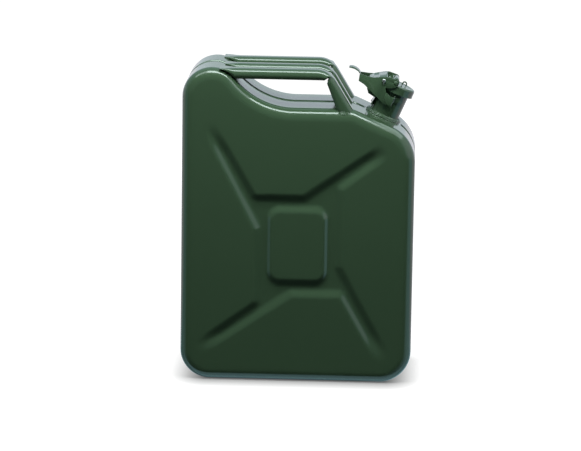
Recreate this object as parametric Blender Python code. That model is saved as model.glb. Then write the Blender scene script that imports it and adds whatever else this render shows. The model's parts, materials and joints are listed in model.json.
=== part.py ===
"""Pressed-steel jerrycan of 20 litres with three handles and a lever-locked lid.

X runs from the handle side to the spout side, Y from the near broad face to the far one, Z up.
The origin is on the ground under the middle of the can. Sizes are in metres.
"""
import math

import bmesh
import bpy
from mathutils import Matrix, Vector, geometry

MM = 0.001

# Body of the can
CAN_WIDTH = 345 * MM
CAN_DEPTH = 165 * MM
CAN_HEIGHT = 470 * MM
SHEET = 1.0 * MM
EDGE_RADIUS = 20 * MM
EDGE_START = CAN_DEPTH / 2 - EDGE_RADIUS
BASE_RADIUS_LEFT = 44 * MM
BASE_RADIUS_RIGHT = 47 * MM
HUMP_RADIUS_LEFT = 44 * MM
HUMP_RADIUS_RIGHT = 43 * MM
HUMP_FALL_ANGLE = 51.0
HOLLOW_RADIUS = 113 * MM
RECESS_DROP = 58 * MM
RECESS_HEIGHT = CAN_HEIGHT - RECESS_DROP
SHOULDER_INSET = 93.5 * MM
SHOULDER_START = CAN_WIDTH / 2 - SHOULDER_INSET
SHOULDER_CORNER_RADIUS = 26 * MM
SHOULDER_ANGLE = 23.5
SHOULDER_END_RADIUS = 57 * MM

# Welded seam in its channel
CHANNEL_HALF_WIDTH = 8.5 * MM
CHANNEL_DEPTH = 3.5 * MM
CHANNEL_STEP = 2.0 * MM
FLANGE_HEIGHT = 2.1 * MM
FLANGE_LOW = 0.15 * MM
BEAD_HALF_WIDTH = 1.7 * MM
BEAD_TOP = 0.25 * MM
CHANNEL_FADE_START = 30 * MM
CHANNEL_FADE_END = 38 * MM

# Cross pressed into each broad face
CROSS_DEPTH = 7 * MM
CROSS_WALL = 10 * MM
CROSS_CORNER_RADIUS = 14 * MM
CROSS_TIP_WIDTH = 0.25
PAD_LEFT, PAD_RIGHT = -0.1217 * CAN_WIDTH, 0.129 * CAN_WIDTH
PAD_LOW, PAD_HIGH = 0.3234 * CAN_HEIGHT, 0.5585 * CAN_HEIGHT
PAD_RADIUS = 14 * MM
PAD_WALL = 6 * MM
PAD_SINK = 1.0 * MM

# Inner corners of the four flat panels round the cross, as shares of the can's width and height
TOP_CORNERS = ((-0.1754, 0.5915), (0.029, 0.5915))
RIGHT_CORNERS = ((0.1797, 0.6298), (0.1797, 0.3766))
BOTTOM_CORNERS = ((0.1797, 0.2862), (-0.0406, 0.2862))
LEFT_CORNERS = ((-0.1681, 0.2553), (-0.1681, 0.5043))

# Ends of the cross's arms in millimetres, from the can's side and from the recess or the ground
UPPER_LEFT_ENDS = ((36.5, 16), (41.5, 46))
UPPER_RIGHT_ENDS = ((46.5, 54), (42.5, 62))
LOWER_RIGHT_ENDS = ((36.5, 40), (58.5, 49))
LOWER_LEFT_ENDS = ((38.5, 53.5), (34.5, 63.5))

# Three handles
OUTER_HANDLE_WIDTH = 32 * MM
CENTRE_HANDLE_WIDTH = 30 * MM
HANDLE_SPAN_INSET = 11 * MM
HANDLE_SPAN = CAN_DEPTH - HANDLE_SPAN_INSET
HANDLE_DROP = 0.4 * MM
HANDLE_TOP = CAN_HEIGHT - HANDLE_DROP
CENTRE_HANDLE_DROP = 1.6 * MM
HANDLE_SHEET = 1.6 * MM
HANDLE_TIP = 0.8 * MM
HANDLE_CORNER = 3.5 * MM
HANDLE_WALL = 15.3 * MM
HANDLE_BEND_RADIUS = 34 * MM
HANDLE_LEG_RUN = 54.2 * MM
HANDLE_BEND_START = SHOULDER_START - HANDLE_LEG_RUN
HANDLE_LEG_ANGLE = 58.6
HANDLE_FOOT_WALL = 20.6 * MM
NOTCH_ANGLE = 38.3
NOTCH_START_ANGLE = 30.0
NOTCH_END_ANGLE = 45.0
NOTCH_WALL = 3.6 * MM
NOTCH_START = 0.344
NOTCH_HEEL = (0.459, 0.426)
HEEL_SHARE = 0.18
FOOT_WELD_LENGTH = 20 * MM
FOOT_WELD_RISE = 3.4 * MM
FOOT_WELD_REACH = 3.2 * MM

# Neck, measured across the shoulder (v), along the can's depth (y) and up the neck's axis (u)
NECK_INSET = 49.1 * MM
NECK_X = CAN_WIDTH / 2 - NECK_INSET
NECK_RADIUS = 22.5 * MM
NECK_WALL = 1.5 * MM
NECK_FOOT = -4.0 * MM
LIP_RADIUS = 25 * MM
LIP_TOP = 48.9 * MM
LIP_HEIGHT = 5.6 * MM
NECK_WELD_WIDTH = 5 * MM
NECK_WELD_HEIGHT = 3.6 * MM
BREATHER_RADIUS = 4 * MM
BREATHER_WALL = 0.8 * MM

# Lid, gasket and carrier
LID_RADIUS = 27.8 * MM
LID_SHEET = 1.2 * MM
LID_TOP = 53.4 * MM
LID_SKIRT_LOW = 41 * MM
LID_FLARE = 0.6 * MM
LID_EDGE_RADIUS = 3 * MM
GASKET_THICKNESS = 2.7 * MM
GASKET_INNER_RADIUS = 20.5 * MM
CARRIER_SHEET = 1.8 * MM
CARRIER_HALF_WIDTH = 19 * MM
CARRIER_WEB_HEIGHT = 1.5 * MM
CARRIER_WEB_BACK = -18.6 * MM
CARRIER_WEB_FRONT = -10.4 * MM
CARRIER_EYE_RADIUS = 7.0 * MM
KNUCKLE_RADIUS = 5.0 * MM
RIVET_V = -14.5 * MM
RIVET_Y = 6.5 * MM
RIVET_RADIUS = 1.8 * MM
RIVET_HEAD_RADIUS = 3.4 * MM
RIVET_HEAD_HEIGHT = 1.4 * MM
LOOP_V = 9.3 * MM
LOOP_RADIUS = 3.0 * MM
LOOP_WIRE = 1.0 * MM

# Hinge at the back of the neck
HINGE_V, HINGE_U = -32.5 * MM, 33.0 * MM
HINGE_PIN_RADIUS = 2.4 * MM
HINGE_EYE_RADIUS = 8.0 * MM
HINGE_EAR_OUTER = 16.0 * MM
HINGE_SHEET = 1.5 * MM
HINGE_BRACKET_LOW = 10 * MM
HINGE_BRACKET_HIGH = 40 * MM
PIN_HEAD = 1.2 * MM

# Lever and its pivot on the lid
PIVOT_V, PIVOT_U = -4.6 * MM, 56.4 * MM
PIVOT_PIN_RADIUS = 1.8 * MM
PIVOT_HEAD_RADIUS = 3.2 * MM
CHEEK_INNER = 29.0 * MM
CHEEK_SHEET = 1.4 * MM
CHEEK_EYE_RADIUS = 4.8 * MM
LEVER_WEB = 1.5 * MM
CHEEK_REAR_TOP = (-58.3 * MM, 44.3 * MM)
CHEEK_REAR_LOW = (-55.5 * MM, 34.1 * MM)
LEVER_TAPER_START = -24 * MM
LEVER_REAR_HALF_WIDTH = 12.4 * MM
TAB_END = -76.5 * MM
TAB_HALF_WIDTH = 12 * MM
LEVER_PER_LID = 1.5

# Hooks that the lever closes on
TRUNNION_V, TRUNNION_U = -4.6 * MM, 29.8 * MM
TRUNNION_RADIUS = 3.4 * MM
HOOK_SHEET = 1.5 * MM
HOOK_PLATE_LEFT = -11.5 * MM
HOOK_STEP_V = 3.4 * MM
HOOK_LOW = 21.5 * MM
HOOK_REACH_ANGLE = 52.0
NOTCH_CLEARANCE = 0.7 * MM

# Safety pin
SAFETY_AT = (-22.3 * MM, 52.8 * MM)
SAFETY_RADIUS = 1.5 * MM
SAFETY_EYE_RADIUS = 3.0 * MM
SAFETY_HEAD_RADIUS = 3.4 * MM
SAFETY_HEAD_LENGTH = 2.6 * MM
SAFETY_TAIL = 6.5 * MM

# Clearances
SEAT_GAP = 0.3 * MM
WELD_GAP = 0.45 * MM
PIN_GAP = 0.3 * MM
SIDE_GAP = 0.6 * MM

# Finishes: colour, roughness, metallic
PAINT = ((0.030, 0.056, 0.038), 0.25, 0.0)
STEEL = ((0.55, 0.56, 0.55), 0.32, 1.0)
RUBBER = ((0.02, 0.02, 0.02), 0.75, 0.0)
CUTTER_LOOK = ((0.8, 0.3, 0.1), 0.5, 0.0)

ROUND_STEPS = 32
PIN_STEPS = 14


def clear_scene():
    for item in list(bpy.data.objects):
        bpy.data.objects.remove(item, do_unlink=True)


def make_material(name, look):
    color, roughness, metallic = look
    material = bpy.data.materials.new(name)
    material.use_nodes = True
    shader = material.node_tree.nodes["Principled BSDF"]
    shader.inputs["Base Color"].default_value = (*color, 1.0)
    shader.inputs["Roughness"].default_value = roughness
    shader.inputs["Metallic"].default_value = metallic
    material.diffuse_color = (*color, 1.0)
    return material


def add_object(name, shape, look, parent=None, origin=(0, 0, 0)):
    """Object from a bmesh whose points are in the parent's frame, with its origin at a given point."""
    bmesh.ops.translate(shape, verts=shape.verts, vec=-Vector(origin))
    mesh = bpy.data.meshes.new(name)
    shape.to_mesh(mesh)
    shape.free()
    item = bpy.data.objects.new(name, mesh)
    bpy.context.scene.collection.objects.link(item)
    mesh.materials.append(make_material(name + "_finish", look))
    mesh.shade_smooth()
    mesh.set_sharp_from_angle(angle=math.radians(35))
    item.parent = parent
    item.location = origin
    return item


def add_cutter(name, shape, parent=None, origin=(0, 0, 0)):
    cutter = add_object(name, shape, CUTTER_LOOK, parent, origin)
    cutter.hide_render = True
    cutter.display_type = "WIRE"
    return cutter


def combine(item, cutter, operation="DIFFERENCE"):
    boolean = item.modifiers.new(cutter.name, "BOOLEAN")
    boolean.operation = operation
    boolean.solver = "EXACT"
    boolean.object = cutter


def thicken(item, thickness):
    """Sheet thickness, added behind the modelled outer skin."""
    wall = item.modifiers.new("Sheet", "SOLIDIFY")
    wall.thickness = thickness
    wall.offset = -1.0
    wall.use_even_offset = True
    wall.use_rim = True


def arc(centre, radius, start, end, steps):
    """Points on an arc; angles in degrees, both ends included."""
    points = []
    for step in range(steps + 1):
        angle = math.radians(start + (end - start) * step / steps)
        points.append((centre[0] + radius * math.cos(angle), centre[1] + radius * math.sin(angle)))
    return points


def loft(rings, closed=True, cap=True):
    """Skin over rings of equally many points; closed says that each ring is a loop."""
    shape = bmesh.new()
    rows = [[shape.verts.new(point) for point in ring] for ring in rings]
    count = len(rows[0])
    for lower, upper in zip(rows, rows[1:]):
        for index in range(count if closed else count - 1):
            after = (index + 1) % count
            shape.faces.new((lower[index], lower[after], upper[after], upper[index]))
    if cap:
        shape.faces.new(list(reversed(rows[0])))
        shape.faces.new(rows[-1])
        bmesh.ops.recalc_face_normals(shape, faces=shape.faces)
    return shape


def turned(profile, steps=ROUND_STEPS, on_axis=False):
    """Profile of (radius, height) points revolved about the height axis; on_axis says that it
    starts and ends there, otherwise it is a closed ring."""
    shape = bmesh.new()
    loop = [shape.verts.new((radius, 0, height)) for radius, height in profile]
    edges = [shape.edges.new((loop[i - 1], loop[i])) for i in range(1 if on_axis else 0, len(loop))]
    bmesh.ops.spin(shape, geom=loop + edges, cent=(0, 0, 0), axis=(0, 0, 1),
                   angle=2 * math.pi, steps=steps, use_merge=True)
    bmesh.ops.remove_doubles(shape, verts=shape.verts, dist=1e-6)
    bmesh.ops.recalc_face_normals(shape, faces=shape.faces)
    return shape


def prism(outline, low, high):
    """Outline of (v, u) points extruded along the can's depth from low to high."""
    return loft([[(v, low, u) for v, u in outline], [(v, high, u) for v, u in outline]])


def upright_prism(plan, low, high):
    """Plan of (v, y) points extruded along the neck from low to high."""
    return loft([[(v, y, low) for v, y in plan], [(v, y, high) for v, y in plan]])


def rod(v, u, radius, low, high, steps=PIN_STEPS):
    """Round bar along the can's depth."""
    return prism(arc((v, u), radius, 0, 360 - 360 / steps, steps - 1), low, high)


def stepped_rod(v, u, sections, steps=PIN_STEPS):
    """Round bar along the can's depth through (y, radius) sections."""
    rings = []
    for y, radius in sections:
        rings.append([(a, y, b) for a, b in arc((v, u), radius, 0, 360 - 360 / steps, steps - 1)])
    return loft(rings)


def mirrored_in_depth(shape):
    bmesh.ops.scale(shape, vec=(1, -1, 1), verts=shape.verts)
    bmesh.ops.reverse_faces(shape, faces=shape.faces)
    return shape


def shoulder_line():
    """Start of the straight shoulder, and the neck's foot on it."""
    slope = math.radians(SHOULDER_ANGLE)
    tangent = SHOULDER_CORNER_RADIUS * math.tan(slope / 2)
    start_x = SHOULDER_START - tangent + SHOULDER_CORNER_RADIUS * math.sin(slope)
    start_z = RECESS_HEIGHT - SHOULDER_CORNER_RADIUS * (1 - math.cos(slope))
    return (start_x, start_z), (NECK_X, start_z - (NECK_X - start_x) * math.tan(slope))


def straight(start, end, normal, stations):
    """Points with normals between two points, at the given shares of the way."""
    first, last = Vector(start), Vector(end)
    return [(first.lerp(last, share), Vector(normal)) for share in stations]


def bend(centre, radius, start, end, steps, convex=True):
    """Points with outward normals along an arc of the outline."""
    middle = Vector(centre)
    points = []
    for x, z in arc(centre, radius, start, end, steps):
        outward = (Vector((x, z)) - middle).normalized()
        points.append((Vector((x, z)), outward if convex else -outward))
    return points


def can_outline():
    """Outer line of the narrow sides as (point, outward normal), clockwise from the lower left."""
    half = CAN_WIDTH / 2
    fall = math.radians(HUMP_FALL_ANGLE)
    slope = math.radians(SHOULDER_ANGLE)
    hump_x = -half + HUMP_RADIUS_LEFT
    fall_x = hump_x + HUMP_RADIUS_RIGHT * math.sin(fall)
    fall_z = CAN_HEIGHT - HUMP_RADIUS_RIGHT * (1 - math.cos(fall))
    run = (fall_z - RECESS_HEIGHT - HOLLOW_RADIUS * (1 - math.cos(fall))) / math.sin(fall)
    hollow_x = fall_x + run * math.cos(fall) + HOLLOW_RADIUS * math.sin(fall)
    corner_x = SHOULDER_START - SHOULDER_CORNER_RADIUS * math.tan(slope / 2)
    (start_x, start_z), _ = shoulder_line()
    end_x = half - SHOULDER_END_RADIUS * (1 - math.sin(slope))
    end_z = start_z - (end_x - start_x) * math.tan(slope)
    side_z = end_z - SHOULDER_END_RADIUS * math.cos(slope)
    shoulder_normal = (math.sin(slope), math.cos(slope))
    line = []
    line += straight((-half, BASE_RADIUS_LEFT), (-half, CAN_HEIGHT - HUMP_RADIUS_LEFT),
                     (-1, 0), (0, 0.33, 0.66))
    line += bend((hump_x, CAN_HEIGHT - HUMP_RADIUS_LEFT), HUMP_RADIUS_LEFT, 180, 90, 7)
    line += bend((hump_x, CAN_HEIGHT - HUMP_RADIUS_RIGHT), HUMP_RADIUS_RIGHT,
                 90, 90 - HUMP_FALL_ANGLE, 5)[1:]
    line += bend((hollow_x, RECESS_HEIGHT + HOLLOW_RADIUS), HOLLOW_RADIUS,
                 270 - HUMP_FALL_ANGLE, 270, 7, False)
    line += straight((hollow_x, RECESS_HEIGHT), (corner_x, RECESS_HEIGHT), (0, 1), (0.5,))
    line += bend((corner_x, RECESS_HEIGHT - SHOULDER_CORNER_RADIUS), SHOULDER_CORNER_RADIUS,
                 90, 90 - SHOULDER_ANGLE, 2)
    line += straight((start_x, start_z), (end_x, end_z), shoulder_normal, (0.14, 0.30, 0.5, 0.75))
    line += bend((half - SHOULDER_END_RADIUS, side_z), SHOULDER_END_RADIUS, 90 - SHOULDER_ANGLE, 0, 6)
    line += straight((half, side_z), (half, BASE_RADIUS_RIGHT), (1, 0), (0.33, 0.66))
    line += bend((half - BASE_RADIUS_RIGHT, BASE_RADIUS_RIGHT), BASE_RADIUS_RIGHT, 0, -90, 7)
    line += straight((half - BASE_RADIUS_RIGHT, 0), (-half + BASE_RADIUS_LEFT, 0), (0, -1), (0.33, 0.66))
    line += bend((-half + BASE_RADIUS_LEFT, BASE_RADIUS_LEFT), BASE_RADIUS_LEFT, 270, 180, 7)[:-1]
    return [item for index, item in enumerate(line)
            if (item[0] - line[index - 1][0]).length > SEAT_GAP]


def channel_share(point):
    """How far the seam channel is formed: none round the neck, all of it further off."""
    _, foot = shoulder_line()
    away = (point - Vector(foot)).length
    return min(1.0, max(0.0, (away - CHANNEL_FADE_START) / (CHANNEL_FADE_END - CHANNEL_FADE_START)))


def side_ring(outline, inset, depth_position):
    """Ring round the can at an inset that may differ from point to point."""
    ring = []
    for index, (point, normal) in enumerate(outline):
        place = point - normal * inset[index]
        ring.append(Vector((place.x, depth_position, place.y)))
    return ring


def cross_panels():
    """Borders of the four flat panels round the cross, each from one end to the other."""
    half = CAN_WIDTH / 2

    def end(pair, side, is_upper):
        x, z = pair[0] * MM, pair[1] * MM
        return Vector((side * (half - x), RECESS_HEIGHT - z if is_upper else z))

    def corner(pair):
        return Vector((pair[0] * CAN_WIDTH, pair[1] * CAN_HEIGHT))

    return (
        (end(UPPER_LEFT_ENDS[0], -1, True), *map(corner, TOP_CORNERS), end(UPPER_RIGHT_ENDS[0], 1, True)),
        (end(UPPER_RIGHT_ENDS[1], 1, True), *map(corner, RIGHT_CORNERS),
         end(LOWER_RIGHT_ENDS[0], 1, False)),
        (end(LOWER_RIGHT_ENDS[1], 1, False), *map(corner, BOTTOM_CORNERS),
         end(LOWER_LEFT_ENDS[0], -1, False)),
        (end(LOWER_LEFT_ENDS[1], -1, False), *map(corner, LEFT_CORNERS), end(UPPER_LEFT_ENDS[1], -1, True)),
    )


def panel_edge(points, outwards):
    """Line along a panel's border: a share of the wall's half width towards the channel (1) or the
    panel (-1), with rounded corners, as (x, z, how deep the channel is there)."""
    sides = [(b - a).normalized() for a, b in zip(points, points[1:])]
    normals = [Vector((side.y, -side.x)) for side in sides]
    line = []

    def place(base, normal, share):
        width = CROSS_TIP_WIDTH + (1 - CROSS_TIP_WIDTH) * share
        spot = base + normal * outwards * width * CROSS_WALL / 2
        line.append((spot.x, spot.y, share))

    for index in (1, 2):
        half_turn = sides[index - 1].angle(sides[index]) / 2
        tangent = CROSS_CORNER_RADIUS * math.tan(half_turn)
        start = points[index] - sides[index - 1] * tangent
        centre = start - normals[index - 1] * CROSS_CORNER_RADIUS
        if index == 1:
            for step in range(4):
                share = step / 4
                place(points[0].lerp(start, share), normals[0], share)
        for step in range(4):
            normal = normals[index - 1].slerp(normals[index], step / 3)
            place(centre + normal * CROSS_CORNER_RADIUS, normal, 1.0)
        if index == 2:
            end = points[2] + sides[2] * tangent
            for step in range(1, 5):
                share = 1 - step / 4
                place(end.lerp(points[3], 1 - share), normals[2], share)
    return line


def pad_loop(grow):
    """Rounded rectangle round the centre pad, grown outwards."""
    radius = PAD_RADIUS + grow
    corners = (
        ((PAD_RIGHT - PAD_RADIUS, PAD_HIGH - PAD_RADIUS), 0),
        ((PAD_LEFT + PAD_RADIUS, PAD_HIGH - PAD_RADIUS), 90),
        ((PAD_LEFT + PAD_RADIUS, PAD_LOW + PAD_RADIUS), 180),
        ((PAD_RIGHT - PAD_RADIUS, PAD_LOW + PAD_RADIUS), 270),
    )
    return [point for centre, start in corners for point in arc(centre, radius, start, start + 90, 3)]


def pressed_face(boundary):
    """Broad face with its cross: points as (x, z, depth), triangles, and each point's place on the
    boundary, or None."""
    drawn = [(x, z, 0.0) for x, z in boundary]
    edges = []

    def add_line(line, is_loop):
        first = len(drawn)
        drawn.extend(line)
        edges.extend((first + i, first + i + 1) for i in range(len(line) - 1))
        if is_loop:
            edges.append((len(drawn) - 1, first))

    for panel in cross_panels():
        add_line([(x, z, 0.0) for x, z, _ in panel_edge(panel, -1)], False)
        add_line([(x, z, share * CROSS_DEPTH) for x, z, share in panel_edge(panel, 1)], False)
    add_line([(x, z, PAD_SINK) for x, z in pad_loop(-PAD_WALL / 2)], True)
    add_line([(x, z, CROSS_DEPTH) for x, z in pad_loop(PAD_WALL / 2)], True)
    flat = [Vector((x, z)) for x, z, _ in drawn]
    rim = list(range(len(boundary)))
    triangles_inside = 1
    spots, _, faces, sources, _, _ = geometry.delaunay_2d_cdt(flat, edges, [rim], triangles_inside, 1e-7)
    points = [(spot.x, spot.y, drawn[source[0]][2] if source else 0.0)
              for spot, source in zip(spots, sources)]
    on_rim = [source[0] if source and source[0] < len(boundary) else None for source in sources]
    return points, faces, on_rim


def shell_half(name, look, side):
    """One pressed half of the can: side is -1 for the near half and 1 for the far half."""
    outline = can_outline()
    half_depth = CAN_DEPTH / 2
    shares = [channel_share(point) for point, _ in outline]
    none = [0.0] * len(outline)
    floor = [share * CHANNEL_DEPTH for share in shares]
    flange = [share * CHANNEL_DEPTH - max(share * FLANGE_HEIGHT, FLANGE_LOW) for share in shares]
    rings = []
    for step in range(6):
        angle = math.radians(90 - 18 * step)
        inset = [EDGE_RADIUS * (1 - math.cos(angle))] * len(outline)
        rings.append(side_ring(outline, inset, half_depth - EDGE_RADIUS * (1 - math.sin(angle))))
    lip_y = SEAT_GAP / 2 + SHEET
    rings.append(side_ring(outline, none, CHANNEL_HALF_WIDTH))
    rings.append(side_ring(outline, floor, CHANNEL_HALF_WIDTH - CHANNEL_STEP))
    rings.append(side_ring(outline, floor, lip_y))
    rings.append(side_ring(outline, flange, lip_y))

    points, faces, on_rim = pressed_face([(point.x, point.z) for point in rings[0]])
    shape = loft(rings, closed=True, cap=False)
    shape.verts.ensure_lookup_table()
    rim = list(shape.verts[:len(outline)])
    corners = [shape.verts.new((x, half_depth - sink, z)) if place is None else rim[place]
               for (x, z, sink), place in zip(points, on_rim)]
    for face in faces:
        shape.faces.new([corners[index] for index in face])
    bmesh.ops.recalc_face_normals(shape, faces=shape.faces)
    shape.faces.ensure_lookup_table()
    if shape.faces[-1].normal.y < 0:
        bmesh.ops.reverse_faces(shape, faces=shape.faces)
    if side < 0:
        mirrored_in_depth(shape)
    item = add_object(name, shape, look)
    thicken(item, SHEET)
    return item


def seam_strip():
    """Weld bead over the two flanges, from one side of the neck round to the other."""
    outline = can_outline()
    formed = [channel_share(point) >= 1.0 for point, _ in outline]
    start = next(i for i in range(len(outline)) if formed[i] and not formed[i - 1])
    count = sum(formed)
    low = CHANNEL_DEPTH - FLANGE_HEIGHT - SEAT_GAP
    section = ((low, -1.0), (low, 1.0), ((low + BEAD_TOP) / 2, 1.0), (BEAD_TOP, 0.5), (BEAD_TOP, -0.5),
               ((low + BEAD_TOP) / 2, -1.0))
    rings = []
    for step in range(count):
        point, normal = outline[(start + step) % len(outline)]
        ring = []
        for inset, across in section:
            place = point - normal * inset
            ring.append((place.x, across * BEAD_HALF_WIDTH, place.y))
        rings.append(ring)
    return loft(rings)


def edge_drop(y):
    """How far the can's side surface has fallen at a depth position, by the edge rounding."""
    beyond = abs(y) - EDGE_START
    if beyond <= 0:
        return 0.0
    return EDGE_RADIUS - math.sqrt(EDGE_RADIUS ** 2 - beyond ** 2)


def hump_height(x):
    """Height of the hump's falling side, with the seat's gap."""
    centre_x = -CAN_WIDTH / 2 + HUMP_RADIUS_LEFT
    radius = HUMP_RADIUS_RIGHT + SEAT_GAP
    return CAN_HEIGHT - HUMP_RADIUS_RIGHT + math.sqrt(radius ** 2 - (x - centre_x) ** 2)


def hump_reach(z):
    """X at which the hump's falling side has the given height, with the seat's gap."""
    centre_x = -CAN_WIDTH / 2 + HUMP_RADIUS_LEFT
    rise = z - (CAN_HEIGHT - HUMP_RADIUS_RIGHT)
    return centre_x + math.sqrt((HUMP_RADIUS_RIGHT + SEAT_GAP) ** 2 - rise ** 2)


def handle_stations(top):
    """Outer and inner point of the handle's side wall at each station, from the hump to the foot."""
    stations = []
    thinnest = HANDLE_TIP + SEAT_GAP
    first_x = hump_reach(top - thinnest)
    full_x = hump_reach(top - HANDLE_WALL)
    for share in (0.0, 0.35, 0.7, 1.0):
        x = first_x + (full_x - first_x) * share
        stations.append(((x, top), (x, max(top - HANDLE_WALL, hump_height(x)))))
    centre = Vector((HANDLE_BEND_START, top - HANDLE_BEND_RADIUS))

    def on_bend(turn, wall=0.0):
        angle = math.radians(90 - turn)
        return centre + Vector((math.cos(angle), math.sin(angle))) * (HANDLE_BEND_RADIUS - wall)

    leg = math.radians(HANDLE_LEG_ANGLE)
    along = Vector((math.cos(leg), -math.sin(leg)))
    bend_end = on_bend(HANDLE_LEG_ANGLE)
    foot_z = RECESS_HEIGHT + SEAT_GAP
    outer_foot = bend_end + along * ((bend_end.y - foot_z) / math.sin(leg))
    inner_foot = outer_foot - Vector((HANDLE_FOOT_WALL / math.sin(leg), 0))
    grip_end = Vector((HANDLE_BEND_START, top - HANDLE_WALL))
    notch_start = grip_end + Vector((NOTCH_START * HANDLE_BEND_RADIUS, 0))
    heel = centre + Vector(NOTCH_HEEL) * HANDLE_BEND_RADIUS
    bent = (
        (on_bend(0), grip_end),
        (on_bend(NOTCH_START_ANGLE / 2), grip_end.lerp(notch_start, 0.5)),
        (on_bend(NOTCH_START_ANGLE), notch_start),
        (on_bend(NOTCH_ANGLE), on_bend(NOTCH_ANGLE, NOTCH_WALL)),
        (on_bend(NOTCH_END_ANGLE), heel),
        (bend_end, heel.lerp(inner_foot, HEEL_SHARE)),
    )
    stations.extend((tuple(outer), tuple(inner)) for outer, inner in bent)
    stations.append((tuple(outer_foot), tuple(inner_foot)))
    return stations


def handle_section(outer, inner, low_y, high_y, lean):
    """Loop round the bent channel's wall at one station: out over the top and back inside."""
    top, bottom = Vector(outer), Vector(inner)
    wall = (top - bottom).length
    corner = min(HANDLE_CORNER, wall - SEAT_GAP)
    creases = [y for y in (0.0, EDGE_START, EDGE_START + EDGE_RADIUS * 0.2, EDGE_START + EDGE_RADIUS * 0.38)
               if low_y + corner < y < high_y - corner]
    sheet = min(HANDLE_SHEET, wall - SEAT_GAP / 2)
    softened = corner * (1 - math.sqrt(0.5))
    loop = []

    def add(y, sink):
        place = top + (bottom - top) * (sink / wall)
        fall = edge_drop(y) if lean else 0.0
        if lean:
            place = place + lean * (fall / abs(lean.y))
        loop.append((place.x, y, place.y))

    add(low_y, wall)
    add(low_y, corner)
    add(low_y + softened, softened)
    add(low_y + corner, 0.0)
    for y in creases:
        add(y, 0.0)
    add(high_y - corner, 0.0)
    add(high_y - softened, softened)
    add(high_y, corner)
    add(high_y, wall)
    add(high_y - HANDLE_SHEET, wall)
    add(high_y - HANDLE_SHEET, sheet)
    for y in reversed(creases):
        add(y, sheet)
    add(low_y + HANDLE_SHEET, sheet)
    add(low_y + HANDLE_SHEET, wall)
    return loop


def handle(low_y, high_y, top):
    """Bent channel of pressed sheet: hump, straight grip, notched bend and slanting leg."""
    stations = handle_stations(top)
    leg_top, leg_foot = Vector(stations[-2][0]), Vector(stations[-1][0])
    rings = []
    for index, (outer, inner) in enumerate(stations):
        is_foot = index == len(stations) - 1
        lean = (leg_foot - leg_top).normalized() if is_foot else None
        rings.append(handle_section(outer, inner, low_y, high_y, lean))
    shape = loft(rings, closed=True, cap=False)
    shape.verts.ensure_lookup_table()
    count = len(rings[0])
    shape.faces.new(shape.verts[:count])
    close_foot(shape, list(shape.verts[-count:]))
    bmesh.ops.recalc_face_normals(shape, faces=shape.faces)
    return shape


def close_foot(shape, ring):
    """Faces between the outer and inner lines of the channel's last section."""
    creases = (len(ring) - 12) // 2
    last = 7 + creases
    inner = [ring[-2 - step] for step in range(creases + 2)]
    shape.faces.new((ring[0], ring[1], inner[0], ring[-1]))
    shape.faces.new((ring[1], ring[2], ring[3], inner[0]))
    for step in range(creases + 1):
        shape.faces.new((ring[3 + step], ring[4 + step], inner[step + 1], inner[step]))
    shape.faces.new((ring[last - 3], ring[last - 2], ring[last - 1], inner[-1]))
    shape.faces.new((ring[last - 1], ring[last], ring[last + 1], inner[-1]))


def foot_weld(side):
    """Lens of weld where an outer handle's foot laps over the can's rounded edge."""
    wall_y = HANDLE_SPAN / 2 + SEAT_GAP

    def rim(y):
        beyond = y - EDGE_START
        return RECESS_HEIGHT - EDGE_RADIUS + math.sqrt((EDGE_RADIUS + WELD_GAP) ** 2 - beyond ** 2)

    outer_foot = handle_stations(HANDLE_TOP)[-1]
    middle = (outer_foot[0][0] + outer_foot[1][0]) / 2
    root = Vector((wall_y, rim(wall_y)))
    reach_y = wall_y + FOOT_WELD_REACH
    corners = (Vector((wall_y, rim(wall_y) + FOOT_WELD_RISE)), root, Vector((reach_y, rim(reach_y))),
               Vector((reach_y - FOOT_WELD_REACH * 0.3, rim(reach_y) + FOOT_WELD_RISE * 0.9)))
    rings = []
    for step in range(7):
        along = -1 + step / 3
        swell = max(0.12, math.sqrt(max(0.0, 1 - along ** 2)))
        x = middle + along * FOOT_WELD_LENGTH / 2
        rings.append([(x, side * (root + (corner - root) * swell).x, (root + (corner - root) * swell).y)
                      for corner in corners])
    return loft(rings)


def neck_tube():
    """Turned neck with its rolled lip."""
    inner = NECK_RADIUS - NECK_WALL
    lip_low = LIP_TOP - LIP_HEIGHT
    return turned((
        (inner, NECK_FOOT), (NECK_RADIUS, NECK_FOOT), (NECK_RADIUS, lip_low),
        (LIP_RADIUS - 0.7 * MM, lip_low + 0.7 * MM), (LIP_RADIUS, lip_low + 2.2 * MM),
        (LIP_RADIUS, LIP_TOP - 1.6 * MM), (LIP_RADIUS - 1.0 * MM, LIP_TOP), (NECK_RADIUS, LIP_TOP),
        (inner, LIP_TOP - 1.4 * MM),
    ))


def neck_weld():
    """Fillet of weld between the neck and the shoulder."""
    inner = NECK_RADIUS + SEAT_GAP
    outer = inner + NECK_WELD_WIDTH
    return turned((
        (inner, WELD_GAP), (outer, WELD_GAP), (outer - 0.8 * MM, WELD_GAP + 1.2 * MM),
        (inner + 1.4 * MM, NECK_WELD_HEIGHT - 0.8 * MM), (inner, NECK_WELD_HEIGHT),
    ), 24)


def breather_route():
    """Bend of the breather tube from inside the neck back under the recess."""
    hug = -(NECK_RADIUS - NECK_WALL - SEAT_GAP - BREATHER_RADIUS)
    turn = 26 * MM
    route = [(hug, LIP_TOP - 10 * MM), (hug, 12 * MM), (hug, -10 * MM)]
    route += arc((hug - turn, -10 * MM), turn, -15, -66.5, 4)
    route.append((hug - turn - 14 * MM, -10 * MM - turn * 0.80))
    return route


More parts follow.
